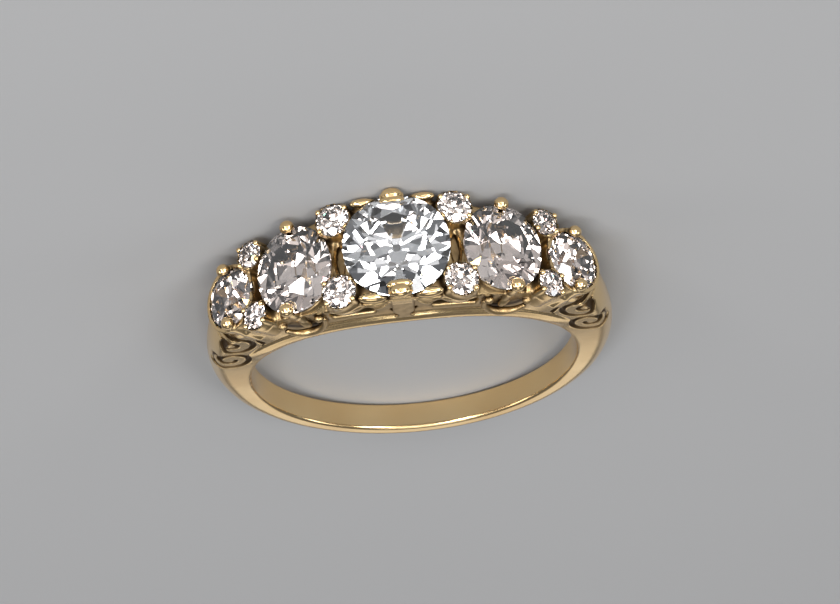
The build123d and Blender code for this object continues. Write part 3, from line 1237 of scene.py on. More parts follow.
@dataclass(frozen=True)
class Gallery(Assembly):
    """Pierced and carved wall under the stones: rail, slots, eyelets, hanging scrolls and leaves.

    Attributes:
        scroll: Angle and radius of the hanging half ring's middle.
        curl: Share of the half ring's radius at which a curl stands, its height over the middle and its radii.
        tongue: Lead in degrees, drop, rise over the wall and radii of the tongue.
        leaves: Angle, radius, half length, half width and turn of each leaf.
        leaf: Depth of the leaves' middles in the wall, half of their thickness and their blend.
        eyelets: Angle, radius, size and turn of each eyelet.
        eyelet: Height over the wall, share of the size at the inner end, depth and stretch of the eyelets.
    """

    row: StoneRow
    slot_lead: float = 0.6
    slot_floor: float = 10.12
    slot_rise: float = 1.5
    slot_half_span: float = 1.1
    scroll: tuple = (27.9, 10.98)
    scroll_radius: float = 1.12
    scroll_wire: float = 0.2
    scroll_rise: float = 0.02
    curl: tuple = (0.93, 0.28, (0.24, 0.22, 0.24))
    tongue: tuple = (-0.4, -0.12, -0.04, (0.24, 0.2, 0.52))
    end_blend: float = 0.06
    leaves: tuple = (
        (6.4, 12.86, 0.72, 0.34, 14.0),
        (6.2, 12.36, 0.68, 0.22, -4.0),
        (5.3, 11.95, 0.55, 0.17, -26.0),
    )
    leaf: tuple = (-0.06, 0.26, 0.09)
    eyelets: tuple = ((21.2, 11.72, 0.27, 15.0), (29.9, 11.95, 0.25, -30.0))
    eyelet: tuple = (0.05, 0.6, 1.1, 1.35)

    def reliefs(self) -> list[Relief]:
        """The rail, the sunk field above it, a lip below each front accent and three nicks.

        Returns:
            The features.
        """
        return [
            Rail(),
            SunkField(),
            Lip(14.6, 11.8, 0.8, 0.36, 0.1),
            Lip(35.2, 11.4, 0.6, 0.34, 0.06),
            Nick(48.0, 10.05, 1.15, 0.17, -65.0, 0.17, 0.2),
            Nick(50.9, 9.62, 0.6, 0.13, -20.0, 0.13),
            Nick(41.3, 11.7, 1.1, 0.12, 84.0, 0.13),
        ]

    def added(self) -> list[Shape]:
        """Leaves beside the centre pillar, and a half ring with curled ends and a tongue under each second stone.

        Returns:
            The bodies.
        """
        hoop = self.row.hoop
        shapes: list[Shape] = []
        raise_by, thickness, blend = self.leaf
        for angle, radius, length, width, turn in self.leaves:
            shapes.append(Bead(hoop.on_wall(angle, radius, raise_by), (length, thickness, width), turn, blend))
        angle, radius = self.scroll
        shapes.append(Swag(hoop.on_wall(angle, radius, self.scroll_rise), self.scroll_radius, self.scroll_wire))
        arc = math.degrees(self.scroll_radius / radius)
        share, height, radii = self.curl
        for hand in (-1, 1):
            curl = hoop.on_wall(angle + hand * arc * share, radius + height, self.scroll_rise)
            shapes.append(Bead(curl, radii, 0.0, self.end_blend))
        lead, drop, raise_by, radii = self.tongue
        shapes.append(Bead(hoop.on_wall(angle + lead, radius + drop, raise_by), radii, 0.0, self.end_blend))
        return shapes

    def cuts(self) -> list[Shape]:
        """A slot below each inner accent and eyelets beside each second stone's claw.

        Returns:
            The bodies.
        """
        place = Place(self.row.accent(Stone.INNER_ACCENT).angle + self.slot_lead, self.slot_floor)
        shapes: list[Shape] = [Slot(place, self.slot_half_span, self.slot_floor, self.slot_rise)]
        raise_by, share, depth, stretch = self.eyelet
        for angle, radius, size, turn in self.eyelets:
            mouth = self.row.hoop.on_wall(angle, radius, raise_by)
            shapes.append(Pit(mouth, size, size * share, depth, stretch, turn))
        return shapes


@dataclass(frozen=True)
class Shoulders(Assembly):
    """Carved scrolls of the shoulders, all in relief."""

    def reliefs(self) -> list[Relief]:
        """Two scrolls and the small cut that fills the corner above them.

        Returns:
            The features.
        """
        return [
            Scroll(54.4, 11.12, 1.12, 0.32, 65.0, 650.0, (0.36, 0.55)),
            Scroll(66.4, 10.14, 0.96, 0.28, 116.0, -600.0, (0.48, 0.78)),
            Nick(57.0, 12.0, 0.7, 0.14, -38.0, 0.14),
        ]


@dataclass
class GoldBody:
    """The whole gold mount as one field.

    Attributes:
        shelters: Distances out of the surface at which its openness is read for painted shade, and their weights.
        cut_age: Depth of a cut that counts in full, and its share of patina.
        field_shade: Depth of the sunk field that counts in full, and its share of painted shade.
        hollow_shade: Share of painted shade inside the pierced wall.
        hollow_depth: Depths below the wall between which that starts.
        hollow_low: Radii between which it starts.
        hollow_high: Radii between which it ends, turned negative.
        hollow_end: Angles between which it ends, turned negative.
    """

    sizes: RingSizes = RingSizes()
    bore_rounding: float = 0.2
    shelters: tuple = ((0.15, 0.4), (0.35, 0.35), (0.8, 0.25))
    cut_age: tuple = (0.05, 0.95)
    field_shade: tuple = (0.16, 0.43)
    hollow_shade: float = 0.6
    hollow_depth: tuple = (0.2, 0.6)
    hollow_low: tuple = (9.5, 9.9)
    hollow_high: tuple = (-12.3, -11.9)
    hollow_end: tuple = (-46.0, -42.0)

    def __post_init__(self) -> None:
        """Gathers the features of all groups."""
        self.hoop = Hoop(self.sizes)
        row = StoneRow(self.sizes, self.hoop)
        groups = [Settings(row), Claws(row), Gallery(row), Shoulders()]
        self.reliefs = [relief for group in groups for relief in group.reliefs()]
        self.added = [shape for group in groups for shape in group.added()]
        self.cuts = [shape for group in groups[::-1] for shape in group.cuts()]

    def distance(self, places: Array) -> Array:
        """Field of the mount.

        Args:
            places: Array of shape (n, 3) in the ring's axes.

        Returns:
            Distance of each place, negative inside the gold.
        """
        at = Points.of(places)
        value = self.hoop.distance(at)
        walls = self.hoop.wall_share(at)
        for relief in self.reliefs:
            value -= relief.height(at) * (1.0 if isinstance(relief, RingCut) else walls)
        for shape in self.added:
            shape.add_to(value, at)
        value = smooth_max(value, self.sizes.bore_radius - at.radius, self.bore_rounding)
        for shape in self.cuts:
            shape.cut_from(value, at)
        return value

    def slope(self, places: Array, step: float) -> Array:
        """Gradient of the field by central differences.

        Args:
            places: Array of shape (n, 3).
            step: Half of the distance between both readings.

        Returns:
            Array of shape (n, 3).
        """
        slopes = np.empty_like(places)
        for axis in range(3):
            shift = np.zeros(3)
            shift[axis] = step
            slopes[:, axis] = (self.distance(places + shift) - self.distance(places - shift)) / (2 * step)
        return slopes

    def _carved(self, at: Points, kinds: tuple, full_depth: float, share: float) -> Array:
        """Darkening from the cut or sunk features of some kinds, which is the given share at full depth."""
        depth = -sum(relief.height(at) for relief in self.reliefs if isinstance(relief, kinds))
        return np.clip(depth / full_depth, 0, 1) * share

    def shade_and_patina(self, places: Array, normals: Array) -> Array:
        """Share of painted shade and patina at each place: painted shade where the field is less open along the
        normal than over a flat surface, in the sunk field and inside the pierced wall, and patina in the engraved
        cuts.

        Args:
            places: Points of the surface.
            normals: Their unit normals.

        Returns:
            0 in the open to 1 in a deep cut.
        """
        # Painted shade: darker where the field is less open along the normal than over a flat surface, where shade
        # falls.
        shelter = np.zeros(len(places))
        for reach, weight in self.shelters:
            shelter += weight * np.clip(1 - self.distance(places + normals * reach) / reach, 0, 1)
        at = Points.of(places)
        cuts = self._carved(at, (Scroll, Nick, RingCut), *self.cut_age)
        # Patina in the engraved cuts, and painted shade in the sunk field of the gallery.
        shade_patina_share = (cuts + self._carved(at, (SunkField,), *self.field_shade)) * self.hoop.wall_share(at)
        # Painted shade inside the pierced wall, below its surface.
        inside = smooth_step(self.hoop.half_width(at.angle, at.radius) - at.aside, *self.hollow_depth)
        inside *= smooth_step(at.radius, *self.hollow_low) * smooth_step(-at.radius, *self.hollow_high)
        inside *= smooth_step(-at.angle, *self.hollow_end)
        return np.maximum(np.maximum(shelter, shade_patina_share), inside * self.hollow_shade)


@dataclass
class Net:
    """Quads of a closed surface, in the ring's axes.

    Attributes:
        places: Vertices of shape (n, 3).
        quads: Vertex numbers of shape (m, 4).
        normals: Unit normals of the vertices.
        shade_and_patina: Share of painted shade and patina at each vertex, 0 to 1.
        shared: Mask of the vertices that lie on the mirror plane.
    """

    places: Array
    quads: Array
    normals: Array
    shade_and_patina: Array
    shared: Array

    def mirrored(self) -> "Net":
        """The same net on the other side of the mirror plane, with its quads turned round."""
        flip = np.array([-1.0, 1.0, 1.0])
        return Net(self.places * flip, self.quads[:, ::-1].copy(), self.normals * flip, self.shade_and_patina, self.shared)

    def whole(self) -> "Net":
        """This net and its mirror image as one, joined at the vertices that lie on the mirror plane.

        Returns:
            The whole net.
        """
        other = self.mirrored()
        count = len(self.places)
        keep = ~self.shared
        index = np.arange(count)
        index[keep] = count + np.arange(keep.sum())
        normals = self.normals.copy()
        normals[self.shared, 0] = 0
        normals /= np.linalg.norm(normals, axis=1)[:, None]
        return Net(
            np.vstack([self.places, other.places[keep]]),
            np.vstack([self.quads, index[other.quads]]),
            np.vstack([normals, other.normals[keep]]),
            np.concatenate([self.shade_and_patina, other.shade_and_patina[keep]]),
            np.concatenate([self.shared, np.zeros(keep.sum(), bool)]),
        )


@dataclass(frozen=True)
class Sector:
    """Part of the mount between two angles, netted on a grid of radius, angle and height.

    Attributes:
        start: First angle in degrees, where 0 is a mirror plane.
        end: Last angle, where 180 is a mirror plane.
        spacing: Distance of the grid's lines in millimetres.
        arc_spacing: Distance of its lines round the finger.
        low: Least radius of the grid.
        high: Greatest radius.
        half_side: Half of its height.
        thin: Half of the thickness in degrees of the layer at an end plane.
        shift: Share of the spacing by which the lines are off the middle plane.
    """

    start: float
    end: float
    spacing: float
    arc_spacing: float
    low: float
    high: float
    half_side: float
    thin: float = 1e-5
    shift: float = 0.37
    chunk: int = 200000
    normal_step: float = 0.015
    settle_step: float = 0.004
    rounds: int = 3
    least_steep: float = 0.05
    least: float = 1e-9

    def axes(self) -> tuple[Array, Array, Array]:
        """Lines of the grid, where both end planes lie in the middle of a very thin layer.

        Returns:
            Radii, angles and heights of the lines.
        """
        radii = np.arange(self.low, self.high + self.spacing, self.spacing)
        arc = math.radians(self.end - self.start) * (self.low + self.high) / 2
        count = max(int(round(arc / self.arc_spacing)), 2)
        inner = np.linspace(self.start, self.end, count + 1)[1:-1]
        thin = self.thin
        ends = ([self.start - thin, self.start + thin], [self.end - thin, self.end + thin])
        angles = np.concatenate([ends[0], inner, ends[1]])
        half = math.ceil(self.half_side / self.spacing) * self.spacing
        sides = np.arange(-half, half + self.spacing / 2, self.spacing) + self.spacing * self.shift
        return radii, angles, sides

    @staticmethod
    def _to_places(radii: Array, angles: Array, sides: Array) -> Array:
        """Places of grid coordinates: (r sin a, -r cos a, side)."""
        turn = np.radians(angles)
        return np.stack([radii * np.sin(turn), -radii * np.cos(turn), sides], axis=-1)

    def _field(self, body: GoldBody, axes: tuple) -> Array:
        """Field on the whole grid, made positive beyond an end plane that isn't a mirror plane.

        Args:
            body: The field.
            axes: Lines of the grid.

        Returns:
            Values of shape (radii, angles, heights).
        """
        grid = np.meshgrid(*axes, indexing="ij")
        places = self._to_places(*grid).reshape(-1, 3)
        parts = np.array_split(places, max(len(places) // self.chunk, 1))
        values = np.concatenate([body.distance(part) for part in parts]).reshape(grid[0].shape)
        if self.start > 0:
            values[:, 0] = np.abs(values[:, 1]) + self.least
        if self.end < 180:
            values[:, -1] = np.abs(values[:, -2]) + self.least
        return values

    def net(self, body: GoldBody) -> Net:
        """Surface net: one vertex in each cell that the surface passes, at the mean of its crossings.

        Each grid line that crosses the surface gives a quad between its four cells. The vertices then slide down
        the field's slope onto its zero, p - F grad F / |grad F|^2, those of the end planes within them.

        Args:
            body: The field.

        Returns:
            The net in the ring's axes.
        """
        axes = self.axes()
        values = self._field(body, axes)
        cells = tuple(n - 1 for n in values.shape)
        total = math.prod(cells)
        sums = np.zeros((4, total))
        flat_count = np.zeros(total)
        quads = []
        corner_order = ((-1, -1), (0, -1), (0, 0), (-1, 0))
        for axis in range(3):
            low = np.take(values, range(values.shape[axis] - 1), axis)
            high = np.take(values, range(1, values.shape[axis]), axis)
            index = np.argwhere((low < 0) != (high < 0))
            below, above = low[tuple(index.T)], high[tuple(index.T)]
            point = index.astype(float)
            point[:, axis] += below / (below - above)
            others = [k for k in range(3) if k != axis]
            corners, whole = [], np.ones(len(index), bool)
            for first, second in corner_order:
                cell = index.copy()
                cell[:, others[0]] += first
                cell[:, others[1]] += second
                held = np.all((cell >= 0) & (cell < cells), axis=1)
                whole &= held
                number = np.ravel_multi_index(np.clip(cell, 0, np.array(cells) - 1).T, cells)
                for k in range(3):
                    sums[k] += np.bincount(number[held], point[held, k], total)
                counted = np.bincount(number[held], minlength=total)
                sums[3] += counted
                if axis != 1:
                    flat_count += counted
                corners.append(number)
            quad = np.stack(corners, axis=1)
            backwards = (below > 0) != (axis == 1)
            quad[backwards] = quad[backwards][:, ::-1]
            quads.append(quad[whole])
        quads = np.vstack(quads)
        used = np.unique(quads)
        at = (sums[:3, used] / sums[3, used]).T
        layer = np.unravel_index(used, cells)[1]
        grid_lines = [np.interp(at[:, k], np.arange(len(axes[k])), axes[k]) for k in range(3)]
        ends = (layer == 0, layer == cells[1] - 1)
        inside_cap = (ends[0] | ends[1]) & (flat_count[used] == 0)
        places = self._settled(body, self._to_places(*grid_lines), ends, inside_cap)
        normals = body.slope(places, self.normal_step)
        normals /= np.maximum(np.linalg.norm(normals, axis=1), self.least)[:, None]
        for end, angle, hand in ((ends[0], self.start, -1), (ends[1], self.end, 1)):
            normals[end & inside_cap] = hand * round_way(angle)
        shared = (ends[0] & (self.start == 0)) | (ends[1] & (self.end == 180))
        return Net(places, np.searchsorted(used, quads), normals, body.shade_and_patina(places, normals), shared)

    def _settled(self, body: GoldBody, places: Array, ends: tuple, fixed: Array) -> Array:
        """Vertices moved onto the surface in a few steps, at most half a cell each.

        Args:
            body: The field.
            places: Vertices from the grid.
            ends: Masks of the vertices of the first and last planes.
            fixed: Mask of the vertices inside an end plane, which stay.

        Returns:
            The settled vertices.
        """
        for _ in range(self.rounds):
            slopes = body.slope(places, self.settle_step)
            for end, angle in zip(ends, (self.start, self.end)):
                slopes[end] -= np.outer(slopes[end] @ round_way(angle), round_way(angle))
            steep = np.maximum((slopes**2).sum(1), self.least_steep)
            move = -slopes * (body.distance(places) / steep)[:, None]
            length = np.linalg.norm(move, axis=1)
            move *= np.minimum(1, self.spacing / 2 / np.maximum(length, self.least))[:, None]
            places = places + move * ~fixed[:, None]
            for end, angle in zip(ends, (self.start, self.end)):
                radii = np.hypot(places[end, 0], places[end, 1])
                places[end] = self._to_places(radii, np.full(len(radii), float(angle)), places[end, 2])
            if self.start == 0:
                places[ends[0], 0] = 0
            if self.end == 180:
                places[ends[1], 0] = 0
        return places


@dataclass(frozen=True)
class LaidDown:
    """How the ring lies: turned about X so that it rests on its claw and the back of its shank."""

    sizes: RingSizes

    @property
    def turn(self) -> Array:
        """Turn matrix from the ring's axes to the scene's.

        Returns:
            Array of shape (3, 3).
        """
        angle = math.radians(self.sizes.tilt)
        c, s = math.cos(angle), math.sin(angle)
        return np.array([[1, 0, 0], [0, c, s], [0, -s, c]])

    @property
    def centre(self) -> Array:
        """Middle of the finger hole in the scene, in metres."""
        return np.array([0, self.sizes.shift_y, self.sizes.shift_z]) * MM

    def places(self, ring: Array) -> Array:
        """Ring places in millimetres as scene places in metres."""
        return ring @ self.turn.T * MM + self.centre

    def directions(self, ring: Array) -> Array:
        """Ring directions as scene directions."""
        return ring @ self.turn.T


def linked(name: str, data: bpy.types.ID) -> bpy.types.Object:
    """Object of some data, linked to the scene.

    Args:
        name: Name of the object.
        data: Its mesh, light or camera.

    Returns:
        The object.
    """
    piece = bpy.data.objects.new(name, data)
    bpy.context.scene.collection.objects.link(piece)
    return piece


def mesh_object(name: str, net: Net, laid: LaidDown) -> bpy.types.Object:
    """Puts a net into a mesh object with smooth shading, its own normals and its share of painted shade and patina as
    an attribute.

    Args:
        name: Name of the piece.
        net: The net in the ring's axes.
        laid: How the ring lies.

    Returns:
        The linked object.
    """
    mesh = bpy.data.meshes.new(name)
    count = len(net.quads)
    mesh.vertices.add(len(net.places))
    mesh.vertices.foreach_set("co", laid.places(net.places).astype(np.float32).ravel())
    mesh.loops.add(count * 4)
    mesh.loops.foreach_set("vertex_index", net.quads.astype(np.int32).ravel())
    mesh.polygons.add(count)
    mesh.polygons.foreach_set("loop_start", np.arange(0, count * 4, 4, dtype=np.int32))
    mesh.polygons.foreach_set("use_smooth", np.ones(count, bool))
    mesh.update(calc_edges=True)
    # Share of painted shade and patina, by which the gold's material turns dark brown.
    layer = mesh.attributes.new("shade_and_patina", "FLOAT", "POINT")
    layer.data.foreach_set("value", net.shade_and_patina.astype(np.float32))
    normals = laid.directions(net.normals)
    normals /= np.linalg.norm(normals, axis=1)[:, None]
    mesh.normals_split_custom_set_from_vertices(normals.astype(np.float32))
    return linked(name, mesh)


class Signal:
    """Number that a shader socket carries, with the arithmetic that builds Math nodes."""

    def __init__(self, tree: "ShaderTree", socket: bpy.types.NodeSocket) -> None:
        """Wraps a socket of a tree."""
        self.tree = tree
        self.socket = socket

    def _math(self, operation: str, *values: "Signal | float", clamp: bool = False) -> "Signal":
        """Math node on numbers or signals, kept within 0 and 1 where it is clamped."""
        node = self.tree.node("ShaderNodeMath", {"operation": operation, "use_clamp": clamp}, dict(enumerate(values)))
        return Signal(self.tree, node.outputs[0])

    def __add__(self, other: "Signal | float") -> "Signal":
        """Sum."""
        return self._math("ADD", self, other)

    def __sub__(self, other: "Signal | float") -> "Signal":
        """Difference."""
        return self._math("SUBTRACT", self, other)

    def __mul__(self, other: "Signal | float") -> "Signal":
        """Product."""
        return self._math("MULTIPLY", self, other)

    def kept(self) -> "Signal":
        """The signal kept within 0 and 1."""
        return self._math("ADD", self, 0.0, clamp=True)


class ShaderTree:
    """Node tree of one material, built from its output backwards."""

    noise_roughness = 0.55

    def __init__(self, name: str) -> None:
        """Makes an empty tree.

        Args:
            name: Name of the material.
        """
        self.material = bpy.data.materials.new(name)
        self.material.use_nodes = True
        self.tree = self.material.node_tree
        self.tree.nodes.clear()

    def node(self, kind: str, settings: dict, inputs: dict) -> bpy.types.Node:
        """One node with its settings and inputs.

        Args:
            kind: Type of the node.
            settings: Attributes that are set first.
            inputs: Values, sockets or signals by the name or index of the socket.

        Returns:
            The node.
        """
        node = self.tree.nodes.new(kind)
        for name, value in settings.items():
            setattr(node, name, value)
        for key, value in inputs.items():
            socket = node.inputs[key]
            source = value.socket if isinstance(value, Signal) else value
            if isinstance(source, bpy.types.NodeSocket):
                self.tree.links.new(source, socket)
            else:
                socket.default_value = source
        return node

    def object_place(self) -> bpy.types.NodeSocket:
        """Object coordinates."""
        return self.node("ShaderNodeTexCoord", {}, {}).outputs["Object"]

    def noise(self, place: bpy.types.NodeSocket, scale: float, detail: float, stretch: tuple = (1, 1, 1)) -> Signal:
        """Noise between 0 and 1.

        Args:
            place: Coordinates.
            scale: Cells in each metre.
            detail: Octaves.
            stretch: Scale of each axis.

        Returns:
            The noise.
        """
        mapping = self.node("ShaderNodeMapping", {}, {"Vector": place, "Scale": stretch})
        settings = {"noise_dimensions": "3D"}
        inputs = {"Vector": mapping.outputs[0], "Scale": scale, "Detail": detail, "Roughness": self.noise_roughness}
        return Signal(self, self.node("ShaderNodeTexNoise", settings, inputs).outputs[0])

    def attribute(self, name: str) -> Signal:
        """Number from an attribute of the mesh."""
        return Signal(self, self.node("ShaderNodeAttribute", {"attribute_name": name}, {}).outputs["Fac"])

    def mixed(self, share: Signal, first: tuple, second: tuple) -> bpy.types.NodeSocket:
        """Colour between two by a share.

        Args:
            share: 0 for the first, 1 for the second.
            first: Colour or socket.
            second: Colour or socket.

        Returns:
            The colour's socket.
        """
        values = [(*value, 1.0) if isinstance(value, tuple) else value for value in (first, second)]
        settings = {"data_type": "RGBA", "clamp_factor": True}
        node = self.node("ShaderNodeMix", settings, {0: share, 6: values[0], 7: values[1]})
        return node.outputs[2]

    def bumped(self, height: Signal, strength: float, distance: float) -> bpy.types.NodeSocket:
        """Normal of a height signal, where a height of 1 is the distance in metres."""
        inputs = {"Height": height, "Strength": strength, "Distance": distance}
        return self.node("ShaderNodeBump", {}, inputs).outputs[0]

    def finished(self, inputs: dict) -> bpy.types.Material:
        """Principled surface with the given inputs, linked to the output.

        Args:
            inputs: Inputs of the Principled node by name.

        Returns:
            The finished material.
        """
        shader = self.node("ShaderNodeBsdfPrincipled", {}, inputs)
        self.node("ShaderNodeOutputMaterial", {}, {"Surface": shader.outputs[0]})
        return self.material


@dataclass(frozen=True)
class OldGold:
    """Yellow gold, softly polished and worn, darkened to brown by painted shade in its recesses and the gallery and
    by patina in its engraved cuts.

    Attributes:
        cloud: Cells in each metre and octaves of a noise, as for the grain and the brushed lines.
        deep_ramp: Gain and offset of the clouds that choose between both colours of clean gold.
        height_shares: Shares of the grain and the brushed lines in the surface's unevenness.
        bump: Strength of that unevenness and its height in metres.
    """

    name: str = "old_yellow_gold"
    light: tuple = (0.90, 0.68, 0.37)
    deep: tuple = (0.78, 0.54, 0.26)
    # Dark brown of the painted shade in recesses and the gallery, and of the patina in engraved cuts.
    shade_patina_colour: tuple = (0.048, 0.025, 0.01)
    least_rough: float = 0.08
    rough_span: float = 0.14
    grain_rough: float = 0.08
    shade_patina_rough: float = 0.3
    shade_patina_start: float = 0.16
    shade_patina_gain: float = 1.9
    shade_patina_grain: float = 0.5
    bump: tuple = (0.12, 0.00003)
    cloud: tuple = (260, 3)
    grain: tuple = (2600, 4)
    brush: tuple = (1500, 3, (1, 1, 6))
    deep_ramp: tuple = (1.6, 0.3)
    shade_patina_strength: float = 0.95
    height_shares: tuple = (0.6, 0.4)

    def material(self) -> bpy.types.Material:
        """Builds the material.

        Returns:
            The material.
        """
        tree = ShaderTree(self.name)
        place = tree.object_place()
        cloud, grain, brush = (tree.noise(place, *noise) for noise in (self.cloud, self.grain, self.brush))
        # Share of painted shade and patina at each vertex, from the mesh attribute.
        shade_and_patina = tree.attribute("shade_and_patina")
        # Painted shade and patina share, ramped and broken up by grain.
        shade_patina_share = ((shade_and_patina - self.shade_patina_start) * self.shade_patina_gain + (grain - 0.5) * self.shade_patina_grain).kept()
        body = tree.mixed((cloud * self.deep_ramp[0] - self.deep_ramp[1]).kept(), self.light, self.deep)
        # Gold mixed towards the dark brown of the painted shade and patina.
        colour = tree.mixed((shade_patina_share * self.shade_patina_strength).kept(), body, self.shade_patina_colour)
        rough = cloud * self.rough_span + grain * self.grain_rough + shade_patina_share * self.shade_patina_rough + self.least_rough
        normal = tree.bumped(grain * self.height_shares[0] + brush * self.height_shares[1], *self.bump)
        return tree.finished({"Base Color": colour, "Metallic": 1.0, "Roughness": rough, "Normal": normal})


@dataclass(frozen=True)
class CutDiamond:
    """Clear polished diamond of a slight tint."""

    name: str
    clear: tuple
    tinted: tuple
    index: float = 2.417
    veil: tuple = (700, 2)
    veil_ramp: tuple = (1.8, 0.4)

    def material(self) -> bpy.types.Material:
        """Builds the material.

        Returns:
            The material.
        """
        tree = ShaderTree(self.name)
        gain, offset = self.veil_ramp
        veil = (tree.noise(tree.object_place(), *self.veil) * gain - offset).kept()
        colour = tree.mixed(veil, self.clear, self.tinted)
        inputs = {"Metallic": 0.0, "Roughness": 0.0, "IOR": self.index, "Transmission Weight": 1.0}
        return tree.finished({"Base Color": colour, **inputs})


@dataclass(frozen=True)
class PalePaper:
    """Plain pale grey sheet that the ring lies on."""

    name: str = "pale_floor"
    light: tuple = (0.325, 0.326, 0.331)
    dark: tuple = (0.308, 0.309, 0.314)
    cloud: tuple = (30, 2)
    roughness: float = 0.75

    def material(self) -> bpy.types.Material:
        """Builds the material.

        Returns:
            The material.
        """
        tree = ShaderTree(self.name)
        cloud = tree.noise(tree.object_place(), *self.cloud)
        return tree.finished({"Base Color": tree.mixed(cloud, self.light, self.dark), "Roughness": self.roughness})


@dataclass
class GoldMount:
    """The gold mount as six pieces that meet at plane ends inside the metal."""

    body: GoldBody
    laid: LaidDown
    finish: bpy.types.Material
    node: str = "gold_mount"
    slot: str = "yellow_gold"
    spacing: float = 0.066
    quick_spacing: float = 0.11

    def sectors(self) -> dict[str, Sector]:
        """Sectors of half the mount.

        Returns:
            The sectors by name.
        """
        fine = self.spacing
        return {
            "head": Sector(0, 17.5, fine, fine, 8.3, 13.95, 3.25),
            "flank": Sector(17.5, 50, fine, fine, 8.3, 13.5, 3.25),
            "shoulder": Sector(50, 82, fine, fine, 8.3, 12.9, 2.3),
            "shank": Sector(82, 180, fine * 1.5, fine * 3.5, 8.3, 11.4, 1.5),
        }

    def mesh(self) -> list[bpy.types.Object]:
        """Builds all pieces, those at a mirror plane whole and the others once on each side.

        Returns:
            The pieces.
        """
        pieces = []
        for name, sector in self.sectors().items():
            net = sector.net(self.body)
            if name in ("head", "shank"):
                pieces.append(mesh_object(f"mount_{name}", net.whole(), self.laid))
            else:
                pieces.append(mesh_object(f"mount_{name}_left", net, self.laid))
                pieces.append(mesh_object(f"mount_{name}_right", net.mirrored(), self.laid))
        return pieces

    def dress(self, pieces: list[bpy.types.Object]) -> None:
        """Gives the pieces their finish and body, and hides the gold mount's CAD node.

        Args:
            pieces: The built pieces.
        """
        for piece in pieces:
            piece.data.materials.append(self.finish)
            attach(piece, "root")
            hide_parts(self.node)
            log.info("%s: %d quads", piece.name, len(piece.data.polygons))


@dataclass
class Stones:
    """The thirteen diamonds, which keep the faceted solids' own meshes."""

    main: bpy.types.Material
    centre: bpy.types.Material
    accent: bpy.types.Material

    def dress(self, nodes: dict) -> None:
        """Gives each stone its material.

        Args:
            nodes: CAD nodes by name.
        """
        for name, stone in nodes.items():
            if name == "gold_mount":
                continue
            finish = self.centre if name.startswith("centre") else self.accent if "accent" in name else self.main
            stone.data.materials.clear()
            stone.data.materials.append(finish)
            log.info("%s: %s", name, finish.name)


@dataclass(frozen=True)
class Panel:
    """Soft light panel that looks at the ring.

    Attributes:
        name: Name of the light.
        azimuth: Direction round the ring in degrees, 0 towards -Y and 90 towards +X.
        elevation: Angle above the floor.
        distance: Distance in metres.
        width: Width in metres.
        height: Height in metres.
        power: Power in watts.
        colour: Colour of the light.
    """

    name: str
    azimuth: float
    elevation: float
    distance: float
    width: float
    height: float
    power: float
    colour: tuple = (1.0, 1.0, 1.0)

    def place(self, aim: Vector) -> None:
        """Makes the light.

        Args:
            aim: Point that the panel looks at.
        """
        data = bpy.data.lights.new(self.name, "AREA")
        data.shape = "RECTANGLE"
        data.size = self.width
        data.size_y = self.height
        data.energy = self.power
        data.color = self.colour
        light = linked(self.name, data)
        turn, rise = math.radians(self.azimuth), math.radians(self.elevation)
        away = Vector((math.sin(turn) * math.cos(rise), -math.cos(turn) * math.cos(rise), math.sin(rise)))
        light.location = aim + away * self.distance
        light.rotation_euler = away.to_track_quat("Z", "Y").to_euler()


@dataclass(frozen=True)
class Studio:
    """Pale floor, soft panels and a dim even sky."""

    floor_half: float = 1.2
    sky: tuple = (0.95, 0.96, 1.0)
    sky_strength: float = 0.16
    panels: tuple = (
        Panel("front_left_panel", 34, 44, 0.5, 0.19, 0.17, 1.1, (0.95, 0.97, 1.0)),
        Panel("front_right_panel", -38, 36, 0.5, 0.17, 0.18, 1.0, (1.0, 0.97, 0.92)),
        Panel("above_camera_panel", -4, 62, 0.5, 0.26, 0.12, 0.5),
        Panel("camera_side_panel", 2, 30, 0.65, 0.5, 0.26, 0.36, (1.0, 0.97, 0.96)),
        Panel("blue_glint", 14, 38, 0.5, 0.035, 0.035, 0.06, (0.35, 0.55, 1.0)),
        Panel("green_glint", -14, 47, 0.5, 0.03, 0.03, 0.045, (0.4, 1.0, 0.8)),
        Panel("yellow_glint", 22, 24, 0.5, 0.03, 0.03, 0.045, (1.0, 0.8, 0.3)),
        Panel("rose_glint", -22, 22, 0.5, 0.03, 0.03, 0.045, (1.0, 0.55, 0.6)),
        Panel("overhead_panel", 170, 80, 0.6, 0.3, 0.2, 0.3),
        Panel("low_front_panel", -8, 9, 0.5, 0.3, 0.07, 0.28, (1.0, 0.90, 0.86)),
        Panel("low_left_panel", 30, 14, 0.5, 0.09, 0.11, 0.5, (1.0, 0.98, 0.96)),
        Panel("low_right_panel", -31, 13, 0.5, 0.1, 0.1, 0.5, (1.0, 0.98, 0.96)),
        Panel("left_panel", 78, 26, 0.5, 0.1, 0.28, 0.42, (1.0, 0.93, 0.88)),
        Panel("right_panel", -84, 28, 0.5, 0.1, 0.28, 0.42, (0.93, 0.96, 1.0)),
        Panel("back_panel", 180, 20, 0.6, 0.8, 0.24, 0.42, (1.0, 0.97, 0.94)),
    )

    def build(self, aim: Vector) -> None:
        """Makes the floor, the sky and the panels.

        Args:
            aim: Point that the panels look at.
        """
        half = self.floor_half
        mesh = bpy.data.meshes.new("floor")
        corners = [(-half, -half, 0), (half, -half, 0), (half, half, 0), (-half, half, 0)]
        mesh.from_pydata(corners, [], [(0, 1, 2, 3)])
        mesh.materials.append(PalePaper().material())
        linked("floor", mesh)
        world = bpy.data.worlds.new("soft_sky")
        bpy.context.scene.world = world
        world.use_nodes = True
        background = world.node_tree.nodes["Background"]
        background.inputs["Color"].default_value = (*self.sky, 1.0)
        background.inputs["Strength"].default_value = self.sky_strength
        for panel in self.panels:
            panel.place(aim)


